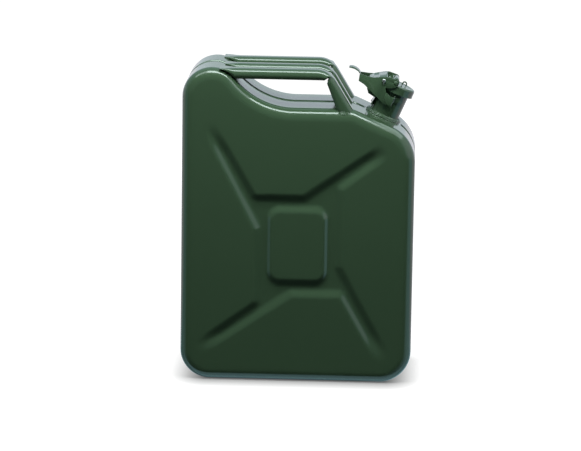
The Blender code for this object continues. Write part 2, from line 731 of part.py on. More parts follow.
def tube(route, radius, wall, steps=10):
    """Open-ended tube along (v, u) points, with its inner wall."""
    rings = []
    directions = []
    for index in range(len(route)):
        before = Vector(route[max(index - 1, 0)])
        after = Vector(route[min(index + 1, len(route) - 1)])
        directions.append((after - before).normalized())

    def ring(index, size):
        centre = Vector(route[index])
        side = Vector((directions[index].y, -directions[index].x))
        loop = []
        for step in range(steps):
            angle = 2 * math.pi * step / steps
            place = centre + side * size * math.cos(angle)
            loop.append((place.x, size * math.sin(angle), place.y))
        return loop

    rings += [ring(i, radius) for i in range(len(route))]
    rings += [ring(i, radius - wall) for i in reversed(range(len(route)))]
    rings.append(rings[0])
    shape = loft(rings, closed=True, cap=False)
    bmesh.ops.remove_doubles(shape, verts=shape.verts, dist=1e-6)
    bmesh.ops.recalc_face_normals(shape, faces=shape.faces)
    return shape


def lid():
    """Turned cap with a flared skirt."""
    inner = LID_RADIUS - LID_SHEET
    underside = LID_TOP - LID_SHEET
    edge = LID_EDGE_RADIUS
    rounding = arc((LID_RADIUS - edge, LID_TOP - edge), edge, 0, 90, 3)
    return turned([
        (0, underside), (inner, underside), (inner, LID_SKIRT_LOW + 3 * MM),
        (inner + LID_FLARE, LID_SKIRT_LOW), (LID_RADIUS + LID_FLARE * 0.8, LID_SKIRT_LOW),
        (LID_RADIUS, LID_SKIRT_LOW + 3 * MM), *rounding, (0, LID_TOP),
    ], on_axis=True)


def gasket():
    outer = LID_RADIUS - LID_SHEET - SEAT_GAP
    low = LIP_TOP + SEAT_GAP
    high = low + GASKET_THICKNESS
    return turned((
        (GASKET_INNER_RADIUS, low), (outer, low), (outer, high), (GASKET_INNER_RADIUS, high),
    ), 28)


def carrier_outline():
    """Side view of the carrier's arms: eye on the hinge, arm under the safety pin, knuckle in front."""
    base = LID_TOP + SEAT_GAP
    arm_inner = CARRIER_HALF_WIDTH - CARRIER_SHEET
    rim_clear = -math.sqrt((LID_RADIUS + LID_FLARE + SIDE_GAP) ** 2 - arm_inner ** 2)
    hinge = (HINGE_V, HINGE_U)
    pivot = (PIVOT_V, PIVOT_U)
    return [
        (-9 * MM, base), (rim_clear, base), (rim_clear - 0.4 * MM, 48 * MM), (-28 * MM, 40 * MM),
        *arc(hinge, CARRIER_EYE_RADIUS, 20, -215, 9),
        (-34 * MM, 43 * MM), (-30 * MM, 47 * MM), (-26 * MM, 49.8 * MM),
        *arc(SAFETY_AT, SAFETY_EYE_RADIUS, 170, 80, 4),
        (-15.0 * MM, 57.6 * MM),
        *arc(pivot, KNUCKLE_RADIUS, 120, -32, 7),
    ]


def lid_carrier(look, parent):
    """Carrier on the lid: two arms from the hinge, a web across the lid and the knuckle of the pivot."""
    at = (PIVOT_V, 0, PIVOT_U)
    half = CARRIER_HALF_WIDTH
    item = add_object("lid_carrier", prism(carrier_outline(), -half, half), look, parent, HINGE_AT)
    inner = half - CARRIER_SHEET
    base = LID_TOP + SEAT_GAP
    web_top = base + CARRIER_WEB_HEIGHT
    void = [(-60 * MM, 20 * MM), (CARRIER_WEB_BACK, 20 * MM), (CARRIER_WEB_BACK, web_top),
            (CARRIER_WEB_FRONT, web_top), (CARRIER_WEB_FRONT, 70 * MM), (-60 * MM, 70 * MM)]
    combine(item, add_cutter("cutter_carrier_void", prism(void, -inner, inner), parent))
    hinge_hole = rod(HINGE_V, HINGE_U, HINGE_PIN_RADIUS + PIN_GAP, -0.05, 0.05)
    combine(item, add_cutter("cutter_carrier_hinge", hinge_hole, parent))
    pivot_hole = rod(at[0], at[2], PIVOT_PIN_RADIUS + PIN_GAP, -0.05, 0.05)
    combine(item, add_cutter("cutter_carrier_pivot", pivot_hole, parent))
    pin_hole = rod(*SAFETY_AT, SAFETY_RADIUS + PIN_GAP, -0.05, 0.05)
    combine(item, add_cutter("cutter_carrier_safety", pin_hole, parent))
    return item


def upright_round(v, y, radius, low, high, steps=12):
    plan = [(v + a, y + b) for a, b in arc((0, 0), radius, 0, 360 - 360 / steps, steps - 1)]
    return upright_prism(plan, low, high)


def lid_rivet(side):
    """Rivet through the lid and the carrier's web, with a head at each end."""
    gap = SEAT_GAP
    under = LID_TOP - LID_SHEET - gap
    over = LID_TOP + gap + CARRIER_WEB_HEIGHT + gap
    head = RIVET_HEAD_RADIUS
    levels = (
        (under - RIVET_HEAD_HEIGHT, head * 0.7), (under, head), (under, RIVET_RADIUS),
        (over, RIVET_RADIUS), (over, head), (over + RIVET_HEAD_HEIGHT, head * 0.6),
    )
    rings = []
    for height, radius in levels:
        circle = arc((RIVET_V, side * RIVET_Y), radius, 0, 330, 11)
        rings.append([(v, y, height) for v, y in circle])
    return loft(rings)


def sealing_loop():
    """Small wire eye that stands on the lid, for a seal."""
    foot = LID_TOP + SEAT_GAP
    rings = []
    route = [(LOOP_V - LOOP_RADIUS, foot)]
    route += arc((LOOP_V, foot + LOOP_RADIUS), LOOP_RADIUS, 180, 0, 6)
    route.append((LOOP_V + LOOP_RADIUS, foot))
    for index in range(len(route)):
        before = Vector(route[max(index - 1, 0)])
        after = Vector(route[min(index + 1, len(route) - 1)])
        direction = (after - before).normalized()
        if index in (0, len(route) - 1):
            direction = Vector((0, 1)) if index == 0 else Vector((0, -1))
        side = Vector((direction.y, -direction.x))
        ring = []
        for step in range(8):
            angle = 2 * math.pi * step / 8
            place = Vector(route[index]) + side * LOOP_WIRE * math.cos(angle)
            ring.append((place.x, LOOP_WIRE * math.sin(angle), place.y))
        rings.append(ring)
    return loft(rings)


def hinge_bracket(look, parent):
    """Folded bracket on the back of the neck with two ears for the hinge pin."""
    web_outer = -(NECK_RADIUS + SEAT_GAP + HINGE_SHEET)
    web_inner = -(NECK_RADIUS + SEAT_GAP)
    ear_end = HINGE_V - HINGE_EYE_RADIUS
    ear = HINGE_EAR_OUTER
    plan = [(web_inner, -ear), (web_inner, ear), (ear_end, ear), (ear_end, ear - HINGE_SHEET),
            (web_outer, ear - HINGE_SHEET), (web_outer, HINGE_SHEET - ear), (ear_end, HINGE_SHEET - ear),
            (ear_end, -ear)]
    folded = upright_prism(plan, HINGE_BRACKET_LOW, HINGE_BRACKET_HIGH)
    item = add_object("hinge_bracket", folded, look, parent)
    side_view = [
        (web_inner + SHEET, HINGE_BRACKET_LOW - SHEET), (web_inner + SHEET, HINGE_BRACKET_HIGH + SHEET),
        (web_outer - SHEET, HINGE_BRACKET_HIGH + SHEET),
        *arc((HINGE_V, HINGE_U), HINGE_EYE_RADIUS, 62, 235, 8),
        (web_outer - SHEET, HINGE_BRACKET_LOW - SHEET),
    ]
    side = add_cutter("cutter_bracket_side", prism(side_view, -0.03, 0.03), parent)
    combine(item, side, "INTERSECT")
    hole = rod(HINGE_V, HINGE_U, HINGE_PIN_RADIUS + PIN_GAP, -0.03, 0.03)
    combine(item, add_cutter("cutter_bracket_pin", hole, parent))
    return item


def hinge_pin():
    end = CARRIER_HALF_WIDTH + PIN_GAP
    head = end + PIN_HEAD
    wide = HINGE_PIN_RADIUS + 1.6 * MM
    return stepped_rod(HINGE_V, HINGE_U, (
        (-head, wide - 0.5 * MM), (-end - 0.3 * MM, wide), (-end, wide), (-end, HINGE_PIN_RADIUS),
        (end, HINGE_PIN_RADIUS), (end, wide), (end + 0.3 * MM, wide), (head, wide - 0.5 * MM),
    ))


def pivot_pin():
    """Rivet that joins the lever to the lid's knuckle."""
    end = CHEEK_INNER + CHEEK_SHEET + PIN_GAP
    head = end + PIN_HEAD
    return stepped_rod(PIVOT_V, PIVOT_U, (
        (-head, PIVOT_HEAD_RADIUS * 0.7), (-end, PIVOT_HEAD_RADIUS), (-end, PIVOT_PIN_RADIUS),
        (end, PIVOT_PIN_RADIUS), (end, PIVOT_HEAD_RADIUS), (head, PIVOT_HEAD_RADIUS * 0.7),
    ))


def trunnion_in_lever(lid_angle):
    """Where the trunnion lies in the closed lever's frame once the lid has swung by an angle."""
    hinge = Vector((HINGE_V, HINGE_U))
    pivot = Vector((PIVOT_V, PIVOT_U))
    lid_turn = Matrix.Rotation(math.radians(lid_angle), 2)
    lever_turn = Matrix.Rotation(math.radians(lid_angle * (1 - LEVER_PER_LID)), 2)
    moved_pivot = hinge + lid_turn @ (pivot - hinge)
    trunnion = Vector((TRUNNION_V, TRUNNION_U))
    return pivot + lever_turn.inverted() @ (trunnion - moved_pivot)


def notch_outline():
    """Slot that the trunnion leaves the cheek by, with clearance on both sides of its path."""
    path = [trunnion_in_lever(angle) for angle in (0, 5, 10, 16, 24)]
    reach = TRUNNION_RADIUS + NOTCH_CLEARANCE
    first = (path[1] - path[0]).normalized()
    start_angle = math.degrees(math.atan2(first.y, first.x))
    points = arc(tuple(path[0]), reach, start_angle + 90, start_angle + 270, 6)
    right, left = [], []
    for before, after in zip(path, path[1:]):
        direction = (after - before).normalized()
        side = Vector((-direction.y, direction.x)) * reach
        right.append(tuple(after - side))
        left.append(tuple(after + side))
    return points + right + left[::-1]


def cheek_outline():
    """Side view of the closing lever's cheeks."""
    points = [
        (-47.0, 33.6), (-44.2, 32.8), (-36.4, 30.1), (-28.3, 27.8),
        (-19.0, 24.6), (-12.0, 22.0), (-5.0, 20.6), (-1.4, 21.6), (-0.6, 24.4), (-5.0, 29.8), (-9.6, 33.6),
        (-11.6, 37.6), (-15.8, 43.0), (-14.4, 44.0), (-7.6, 46.4), (-1.6, 50.2),
    ]
    outline = [CHEEK_REAR_TOP, CHEEK_REAR_LOW]
    outline += [(v * MM, u * MM) for v, u in points]
    outline += arc((PIVOT_V, PIVOT_U), CHEEK_EYE_RADIUS, -20, 95, 6)
    back = ((-16.5, 60.4), (-21.5, 58.9), (-29.4, 54.5), (-37.9, 49.2), (-45.1, 47.1))
    outline += [(v * MM, u * MM) for v, u in back]
    return outline


def lever_plan(front_half, sheet):
    """Plan of the lever as (v, y): parallel beside the lid, then drawn together towards the tab."""
    outer = CHEEK_INNER + CHEEK_SHEET
    taper = (outer - LEVER_REAR_HALF_WIDTH) / (LEVER_TAPER_START - CHEEK_REAR_TOP[0])
    end = CHEEK_REAR_TOP[0] - LEVER_WEB
    end_half = LEVER_REAR_HALF_WIDTH - taper * LEVER_WEB - sheet * math.sqrt(1 + taper ** 2)
    front = -LEVER_TAPER_START
    return [(end, -end_half), (end, end_half), (LEVER_TAPER_START, front_half), (front, front_half),
            (front, -front_half), (LEVER_TAPER_START, -front_half)]


def closing_lever(look, parent):
    """Pressed lever: two cheeks, a web across the middle, an end web and the thumb tab."""
    outer = CHEEK_INNER + CHEEK_SHEET
    low, high = 10 * MM, 70 * MM
    item = add_object("closing_lever", prism(cheek_outline(), -outer, outer), look, parent, PIVOT_AT)
    plan = add_cutter("cutter_lever_plan", upright_prism(lever_plan(outer, 0.0), low, high), parent)
    combine(item, plan, "INTERSECT")
    inside = [
        (CHEEK_REAR_LOW[0] + LEVER_WEB, low), (CHEEK_REAR_LOW[0] + LEVER_WEB, CHEEK_REAR_LOW[1]),
        (CHEEK_REAR_TOP[0] + LEVER_WEB, CHEEK_REAR_TOP[1] - LEVER_WEB),
        (CHEEK_REAR_TOP[0] + LEVER_WEB, high),
        (-31.0 * MM, high), (-31.0 * MM, 53.2 * MM), (-43.0 * MM, 46.3 * MM), (-43.0 * MM, 44.8 * MM),
        (-31.0 * MM, 51.7 * MM), (-21.2 * MM, 57.3 * MM), (-19.5 * MM, 57.8 * MM), (-19.5 * MM, high),
        (LOOP_V, high), (LOOP_V, low),
    ]
    void = add_cutter("cutter_lever_inside", prism(inside, -CHEEK_INNER, CHEEK_INNER), parent)
    inner_plan = upright_prism(lever_plan(CHEEK_INNER, CHEEK_SHEET), low - LEVER_WEB, high + LEVER_WEB)
    combine(void, add_cutter("cutter_lever_inside_plan", inner_plan, parent), "INTERSECT")
    combine(item, void)
    combine(item, add_cutter("cutter_lever_notch", prism(notch_outline(), -0.04, 0.04), parent))
    pivot_hole = rod(PIVOT_V, PIVOT_U, PIVOT_PIN_RADIUS + PIN_GAP, -0.04, 0.04)
    combine(item, add_cutter("cutter_lever_pivot", pivot_hole, parent))
    pin_hole = rod(*SAFETY_AT, SAFETY_RADIUS + PIN_GAP, -0.04, 0.04)
    combine(item, add_cutter("cutter_lever_pin", pin_hole, parent))
    combine(item, add_cutter("thumb_tab_form", thumb_tab(), parent), "UNION")
    return item


def thumb_tab():
    """Curved tab that grows from the lever's end web."""
    root_v, root_u = CHEEK_REAR_TOP
    top = [(root_v + 1.5 * MM, root_u - 0.3 * MM), (root_v - 0.3 * MM, root_u + 1.9 * MM),
           (root_v - 4.2 * MM, root_u + 3.9 * MM), (root_v - 9.2 * MM, root_u + 4.7 * MM),
           (TAB_END + 4.5 * MM, root_u + 4.3 * MM), (TAB_END, root_u + 2.9 * MM)]
    rings = []
    for v, u in top:
        half = TAB_HALF_WIDTH if v > TAB_END + 3 * MM else TAB_HALF_WIDTH * 0.72
        low = u - LEVER_WEB
        rings.append([(v, -half, low), (v, half, low), (v, half, u), (v, -half, u)])
    return loft(rings)


def hook_plan():
    """Plan of the near hook bracket's outer skin as (v, y), from the plate's free end to the neck."""
    plate_y = -(CHEEK_INNER + CHEEK_SHEET + SIDE_GAP + HOOK_SHEET)
    neck_r = NECK_RADIUS + SEAT_GAP + HOOK_SHEET
    start = math.degrees(math.asin(HOOK_STEP_V / neck_r))
    plan = [(HOOK_PLATE_LEFT, plate_y), (HOOK_PLATE_LEFT / 3, plate_y), (HOOK_STEP_V - 1.2 * MM, plate_y),
            (HOOK_STEP_V, plate_y + 1.2 * MM)]
    for step in range(5):
        angle = math.radians(start + 2 + (HOOK_REACH_ANGLE - start - 2) * step / 4)
        plan.append((neck_r * math.sin(angle), -neck_r * math.cos(angle)))
    return plan


def hook_bracket(name, look, parent, side):
    """Hook plate that stands off the neck in front of the lever's cheek, and its strap on the neck."""
    heights = ((29.0, 37.8), (HOOK_LOW / MM, 34.6), (HOOK_LOW / MM, 35.2), (24.0, 38.5),
               (27.0, 35.0), (27.6, 37.0), (28.2, 38.6), (28.8, 38.0), (29.6, 35.0))
    low = []
    high = []
    for (v, y), (bottom, top) in zip(hook_plan(), heights):
        low.append((v, y, bottom * MM))
        high.append((v, y, top * MM))
    shape = loft([low, high], closed=False, cap=False)
    bmesh.ops.recalc_face_normals(shape, faces=shape.faces)
    shape.faces.ensure_lookup_table()
    if shape.faces[0].normal.y > 0:
        bmesh.ops.reverse_faces(shape, faces=shape.faces)
    if side > 0:
        mirrored_in_depth(shape)
    item = add_object(name, shape, look, parent)
    thicken(item, HOOK_SHEET)
    return item


def trunnion(side):
    inner = NECK_RADIUS + SEAT_GAP
    outer = CHEEK_INNER + CHEEK_SHEET + SIDE_GAP - SEAT_GAP
    return rod(TRUNNION_V, TRUNNION_U, TRUNNION_RADIUS, min(side * inner, side * outer),
               max(side * inner, side * outer), 12)


def safety_pin():
    """Pin through both cheeks, with its head and a drop-shaped grip on the near side."""
    head = -(CHEEK_INNER + CHEEK_SHEET + PIN_GAP)
    end = head - SAFETY_HEAD_LENGTH
    tip = -(CARRIER_HALF_WIDTH + SIDE_GAP)
    return stepped_rod(*SAFETY_AT, (
        (end, SAFETY_HEAD_RADIUS * 0.72), (end + 0.8 * MM, SAFETY_HEAD_RADIUS), (head, SAFETY_HEAD_RADIUS),
        (head, SAFETY_RADIUS), (tip - 1.0 * MM, SAFETY_RADIUS), (tip, SAFETY_RADIUS * 0.5),
    ), 12)


def safety_grip():
    """Flat tail of the safety pin's head."""
    head = -(CHEEK_INNER + CHEEK_SHEET + PIN_GAP)
    middle, high = SAFETY_AT
    low = high - SAFETY_TAIL
    outline = [(middle - 2.4 * MM, high), (middle + 0.6 * MM, low), (middle + 2.2 * MM, low),
               (middle + 2.4 * MM, high)]
    return prism(outline, head - 1.8 * MM, head - 0.6 * MM)


def add_empty(name, location, parent=None, rotation=(0, 0, 0)):
    empty = bpy.data.objects.new(name, None)
    bpy.context.scene.collection.objects.link(empty)
    empty.empty_display_size = 0.02
    empty.parent = parent
    empty.location = location
    empty.rotation_euler = rotation
    return empty


def build_can():
    _, foot = shoulder_line()
    near = shell_half("shell_near", PAINT, -1)
    far = shell_half("shell_far", PAINT, 1)
    hole = turned_cutter()
    cutter = add_cutter("cutter_neck_hole", hole)
    cutter.location = (foot[0], 0, foot[1])
    cutter.rotation_euler = (0, math.radians(SHOULDER_ANGLE), 0)
    combine(near, cutter)
    combine(far, cutter)
    add_object("seam_weld", seam_strip(), PAINT)


def turned_cutter():
    return upright_round(0, 0, NECK_RADIUS + SEAT_GAP, -25 * MM, 25 * MM, ROUND_STEPS)


def build_handles():
    half_span = HANDLE_SPAN / 2
    inner = half_span - OUTER_HANDLE_WIDTH
    centre = CENTRE_HANDLE_WIDTH / 2
    add_object("handle_near", mirrored_in_depth(handle(inner, half_span, HANDLE_TOP)), PAINT)
    add_object("handle_centre", handle(-centre, centre, HANDLE_TOP - CENTRE_HANDLE_DROP), PAINT)
    add_object("handle_far", handle(inner, half_span, HANDLE_TOP), PAINT)
    add_object("foot_weld_near", foot_weld(-1), PAINT)
    add_object("foot_weld_far", foot_weld(1), PAINT)


def build_neck(frame):
    add_object("neck_tube", neck_tube(), PAINT, frame)
    add_object("neck_weld", neck_weld(), PAINT, frame)
    add_object("breather_tube", tube(breather_route(), BREATHER_RADIUS, BREATHER_WALL), STEEL, frame)
    hinge_bracket(PAINT, frame)
    add_object("hinge_pin", hinge_pin(), STEEL, frame)
    hook_bracket("hook_bracket_near", PAINT, frame, -1)
    hook_bracket("hook_bracket_far", PAINT, frame, 1)
    add_object("trunnion_near", trunnion(-1), PAINT, frame)
    add_object("trunnion_far", trunnion(1), PAINT, frame)


def build_lid(axis):
    cap = add_object("lid", lid(), PAINT, axis, HINGE_AT)
    add_object("lid_gasket", gasket(), RUBBER, axis, HINGE_AT)
    carrier = lid_carrier(PAINT, axis)
    for name, side in (("cutter_rivet_near", -1), ("cutter_rivet_far", 1)):
        hole = upright_round(RIVET_V, side * RIVET_Y, RIVET_RADIUS + SEAT_GAP,
                             LID_TOP - 5 * MM, LID_TOP + 6 * MM)
        cutter = add_cutter(name, hole, axis)
        combine(cap, cutter)
        combine(carrier, cutter)
    add_object("lid_rivet_near", lid_rivet(-1), PAINT, axis, HINGE_AT)
    add_object("lid_rivet_far", lid_rivet(1), PAINT, axis, HINGE_AT)
    add_object("sealing_loop", sealing_loop(), PAINT, axis, HINGE_AT)


def build_lever(axis):
    closing_lever(PAINT, axis)
    add_object("pivot_pin", pivot_pin(), PAINT, axis, PIVOT_AT)
    pin = add_object("safety_pin", safety_pin(), STEEL, axis, (SAFETY_AT[0], 0, SAFETY_AT[1]))
    combine(pin, add_cutter("safety_grip_form", safety_grip(), axis), "UNION")


def main():
    clear_scene()
    build_can()
    build_handles()
    _, foot = shoulder_line()
    frame = add_empty("neck_frame", (foot[0], 0, foot[1]), None, (0, math.radians(SHOULDER_ANGLE), 0))
    build_neck(frame)
    build_lid(frame)
    build_lever(frame)


HINGE_AT = (HINGE_V, 0, HINGE_U)
PIVOT_AT = (PIVOT_V, 0, PIVOT_U)
main()
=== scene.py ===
"""Looks of a 20 litre pressed-steel jerrycan: glossy green paint, welded seam and lever cap."""

import json
import math

import bmesh
import bpy
from bpy.props import FloatProperty, FloatVectorProperty, PointerProperty
from mathutils import Matrix, Vector, noise


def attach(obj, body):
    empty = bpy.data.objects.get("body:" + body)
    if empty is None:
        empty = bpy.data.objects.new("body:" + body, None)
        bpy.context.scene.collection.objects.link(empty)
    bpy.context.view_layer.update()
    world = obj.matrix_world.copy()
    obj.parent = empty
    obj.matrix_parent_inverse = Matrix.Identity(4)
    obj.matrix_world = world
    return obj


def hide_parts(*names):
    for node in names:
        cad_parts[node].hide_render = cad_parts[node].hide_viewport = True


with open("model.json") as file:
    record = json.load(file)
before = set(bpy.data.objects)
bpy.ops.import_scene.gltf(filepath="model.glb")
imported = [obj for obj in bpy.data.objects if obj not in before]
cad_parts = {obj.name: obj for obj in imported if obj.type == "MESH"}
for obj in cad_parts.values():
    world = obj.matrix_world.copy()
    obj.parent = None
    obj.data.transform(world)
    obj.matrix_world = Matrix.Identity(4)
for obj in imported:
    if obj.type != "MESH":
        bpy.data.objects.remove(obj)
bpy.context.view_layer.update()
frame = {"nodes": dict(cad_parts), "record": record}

bl_info = {
    "name": "Jerrycan",
    "version": (1, 0, 0),
    "blender": (4, 5, 0),
    "location": "View3D > Sidebar > Jerrycan",
    "description": "Dresses the jerrycan's solids with fine meshes and finishes",
    "category": "Object",
}

MM = 0.001


def length(name, description, millimetres):
    """A size that is given in millimetres and kept in metres."""
    return FloatProperty(name=name, description=description, default=millimetres * MM,
                         unit="LENGTH", subtype="DISTANCE", precision=5)


def color(name, description, values):
    """A plain colour."""
    return FloatVectorProperty(name=name, description=description, default=values,
                               subtype="COLOR", size=3, min=0, max=1)


class JerrycanBodySizes(bpy.types.PropertyGroup):
    """Sizes of the can's two pressed halves."""

    width: length("Width", "Across the narrow sides", 345)
    depth: length("Depth", "Between the broad faces", 165)
    height: length("Height", "From the ground to the top of the hump", 470)
    sheet: length("Sheet", "Thickness of the steel", 1.0)
    edge_radius: length("Edge radius", "Rounding of the broad faces' edges", 17.5)
    base_left: length("Lower left radius", "Rounding of the lower left corner", 44)
    base_right: length("Lower right radius", "Rounding of the lower right corner", 47)
    hump_left: length("Hump radius, outside", "Rounding of the hump on the outside", 44)
    hump_right: length("Hump radius, inside", "Rounding of the hump towards the handles", 43)
    hollow: length("Hollow radius", "Rounding between the hump and the recess", 113)
    recess: length("Recess height", "Height of the flat under the handles", 412)
    shoulder_start: length("Shoulder start", "Where the shoulder begins to fall", 79)
    shoulder_corner: length("Shoulder corner", "Rounding where the shoulder begins", 26)
    shoulder_end: length("Shoulder end", "Rounding between the shoulder and the side", 57)
    channel_half: length("Channel half width", "Half the width of the seam channel", 8.5)
    channel_depth: length("Channel depth", "Depth of the seam channel", 3.5)
    channel_side: length("Channel side", "Width of the channel's sloping side", 2.0)
    flange_height: length("Flange height", "Height of the flanges in the channel", 2.1)
    flange_gap: length("Flange gap", "Half the gap between the flanges", 0.15)
    cross_depth: length("Cross depth", "Depth of the pressed cross", 6.4)
    cross_wall: length("Cross wall", "Width of the cross's sloping sides", 15.5)
    cross_corner: length("Cross corner", "Rounding of the panels' inner corners", 9)


class JerrycanHandleSizes(bpy.types.PropertyGroup):
    """Sizes of the three handles."""

    outer_width: length("Outer width", "Width of the two outer handles", 32)
    centre_width: length("Centre width", "Width of the centre handle", 30)
    span: length("Span", "Across all three handles", 154)
    top: length("Top", "Height of the outer handles", 469.6)
    centre_drop: length("Centre drop", "How much lower the centre handle is", 1.6)
    sheet: length("Sheet", "Thickness of the steel", 1.6)
    tip: length("Tip", "Thickness of the start on the hump", 0.7)
    corner: length("Corner", "Rounding of the channel's long edges", 8.5)
    rise: length("Rise", "How much the channel's top rises to its middle", 1.2)
    roll: length("Roll", "Rounding of the channel's lower edges, rolled inwards", 6.5)
    wall: length("Wall", "Depth of the channel's sides", 15.3)
    bend_radius: length("Bend radius", "Rounding from the grip into the leg", 34)
    bend_start: length("Bend start", "Where the grip begins to bend", 24.8)


class JerrycanFinish(bpy.types.PropertyGroup):
    """Colours of the paint, steel, rubber and floor."""

    paint: color("Paint", "Main colour of the enamel", (0.043, 0.085, 0.045))
    paint_light: color("Paint, light", "Lighter patches in the enamel", (0.047, 0.092, 0.049))
    steel: color("Steel", "Zinc-plated steel", (0.50, 0.51, 0.50))
    rubber: color("Rubber", "Gasket", (0.015, 0.015, 0.016))
    floor: color("Floor", "Pale floor's share of the lamps' light", (0.22, 0.22, 0.22))


SLOPE = math.radians(23.5)
HUMP_FALL = math.radians(51.0)
NECK_FOOT = Vector((0.1234, 0.0, 0.39269))
NECK_FRAME = Matrix.Translation(NECK_FOOT) @ Matrix.Rotation(SLOPE, 4, "Y")
NECK_HOLE_RADIUS = 22.9 * MM
SEAT_GAP = 0.3 * MM
SAME_PLACE, SAME_CORNER = 1e-6, 0.05 * MM
FLAT_ANGLE, SHARP_ANGLE = math.radians(1), math.radians(28)
EDGE_STEPS = 9


def linked(name, data):
    """Adds an object for a mesh, a lamp or the camera to the scene."""
    item = bpy.data.objects.new(name, data)
    bpy.context.scene.collection.objects.link(item)
    return item


def meshed(name, shape):
    """Adds an object with the mesh of a bmesh, and frees the bmesh."""
    mesh = bpy.data.meshes.new(name)
    shape.to_mesh(mesh)
    shape.free()
    return linked(name, mesh)


def shade(mesh, angle=40):
    """Smooths a mesh except where its faces meet at more than an angle in degrees."""
    mesh.shade_smooth()
    mesh.set_sharp_from_angle(angle=math.radians(angle))


def finish_piece(name, shape, material, body, node, angle=40):
    """Turns a bmesh into a piece that rides on a CAD body and stands for a CAD node."""
    piece = meshed(name, shape)
    shade(piece.data, angle)
    piece.data.materials.append(material)
    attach(piece, body)
    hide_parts(node)
    return piece


def apply_modifiers(piece):
    """Replaces a piece's mesh by what its modifiers make of it."""
    graph = bpy.context.evaluated_depsgraph_get()
    done = bpy.data.meshes.new_from_object(piece.evaluated_get(graph))
    piece.modifiers.clear()
    piece.data = done


def carve(piece, shape):
    """Cuts a shape out of a piece."""
    tool = meshed("cut", shape)
    boolean = piece.modifiers.new("Cut", "BOOLEAN")
    boolean.object = tool
    boolean.solver = "EXACT"
    apply_modifiers(piece)
    bpy.data.objects.remove(tool, do_unlink=True)


def drill(piece, radius, depth, segments, place):
    """Drills a round hole into a piece."""
    hole = bmesh.new()
    bmesh.ops.create_cone(hole, cap_ends=True, segments=segments, radius1=radius, radius2=radius,
                          depth=depth, matrix=place)
    carve(piece, hole)


def mirror_across(shape):
    """Turns a shape of the far side into its twin on the near side."""
    bmesh.ops.scale(shape, vec=(1, -1, 1), verts=shape.verts)
    bmesh.ops.reverse_faces(shape, faces=shape.faces)


def clamped(value):
    """Value held between 0 and 1."""
    return min(1.0, max(0.0, value))


def eased(value):
    """Smooth step from 0 to 1."""
    value = clamped(value)
    return value * value * (3 - 2 * value)


class Pen:
    """Draws a line of edges in the XZ plane by straight runs and by turns spun about a centre.

    Each vertex keeps its place on the line and the direction to the line's left in two layers.
    """

    def __init__(self, shape, start, heading):
        self.shape = shape
        self.base = shape.verts.layers.float_vector.new("base")
        self.outward = shape.verts.layers.float_vector.new("outward")
        self.heading = heading
        self.tip = shape.verts.new(start)
        self.mark(Vector((-math.sin(heading), 0, math.cos(heading))))

    def mark(self, outward):
        """Notes the tip's place and its outward direction."""
        self.tip[self.base] = self.tip.co
        self.tip[self.outward] = outward.normalized()

    def extend(self):
        """Starts a new edge at the tip."""
        made = bmesh.ops.extrude_vert_indiv(self.shape, verts=[self.tip])
        self.tip = made["verts"][0]

    def run(self, distance, pieces=1):
        """Draws a straight run."""
        ahead = Vector((math.cos(self.heading), 0, math.sin(self.heading)))
        for _ in range(pieces):
            self.extend()
            self.tip.co += ahead * distance / pieces
            self.mark(Vector((-ahead.z, 0, ahead.x)))

    def turn(self, radius, angle, steps):
        """Draws an arc; positive angles turn clockwise, seen from the front."""
        towards = self.heading - math.copysign(math.pi / 2, angle)
        centre = self.tip.co + Vector((math.cos(towards), 0, math.sin(towards))) * radius
        for _ in range(steps):
            self.extend()
            bmesh.ops.rotate(self.shape, verts=[self.tip], cent=centre,
                             matrix=Matrix.Rotation(angle / steps, 3, "Y"))
            self.mark((self.tip.co - centre) * math.copysign(1, angle))
        self.heading -= angle


def draw_can_side(shape, sizes):
    """Outline of the narrow sides, clockwise from the lower left corner, at y = 0."""
    half = sizes.width / 2
    fall_height = sizes.height - sizes.recess - sizes.hump_right * (1 - math.cos(HUMP_FALL))
    fall_run = (fall_height - sizes.hollow * (1 - math.cos(HUMP_FALL))) / math.sin(HUMP_FALL)
    hollow_x = (-half + sizes.hump_left + (sizes.hump_right + sizes.hollow) * math.sin(HUMP_FALL)
                + fall_run * math.cos(HUMP_FALL))
    corner_x = sizes.shoulder_start - sizes.shoulder_corner * math.tan(SLOPE / 2)
    slope_x = corner_x + sizes.shoulder_corner * math.sin(SLOPE)
    slope_end = half - sizes.shoulder_end * (1 - math.sin(SLOPE))
    side_z = (sizes.recess - sizes.shoulder_corner * (1 - math.cos(SLOPE))
              - (slope_end - slope_x) * math.tan(SLOPE) - sizes.shoulder_end * math.cos(SLOPE))
    pen = Pen(shape, (-half, 0, sizes.base_left), math.pi / 2)
    pen.run(sizes.height - sizes.base_left - sizes.hump_left, 6)
    pen.turn(sizes.hump_left, math.pi / 2, 24)
    pen.turn(sizes.hump_right, HUMP_FALL, 14)
    pen.run(fall_run)
    pen.turn(sizes.hollow, -HUMP_FALL, 24)
    pen.run(corner_x - hollow_x, 3)
    pen.turn(sizes.shoulder_corner, SLOPE, 6)
    pen.run((slope_end - slope_x) / math.cos(SLOPE), 14)
    pen.turn(sizes.shoulder_end, math.pi / 2 - SLOPE, 20)
    pen.run(side_z - sizes.base_right, 6)
    pen.turn(sizes.base_right, math.pi / 2, 20)
    pen.run(sizes.width - sizes.base_left - sizes.base_right, 6)
    pen.turn(sizes.base_left, math.pi / 2, 20)
    bmesh.ops.remove_doubles(shape, verts=shape.verts, dist=SAME_CORNER)
    return pen


def extend_loop(shape, edges, place):
    """Extrudes a line of edges and moves each new vertex to place(vertex)."""
    made = bmesh.ops.extrude_edge_only(shape, edges=edges)["geom"]
    fresh = {item for item in made if isinstance(item, bmesh.types.BMVert)}
    for vert in fresh:
        vert.co = place(vert)
    return [item for item in made
            if isinstance(item, bmesh.types.BMEdge) and fresh.issuperset(item.verts)]


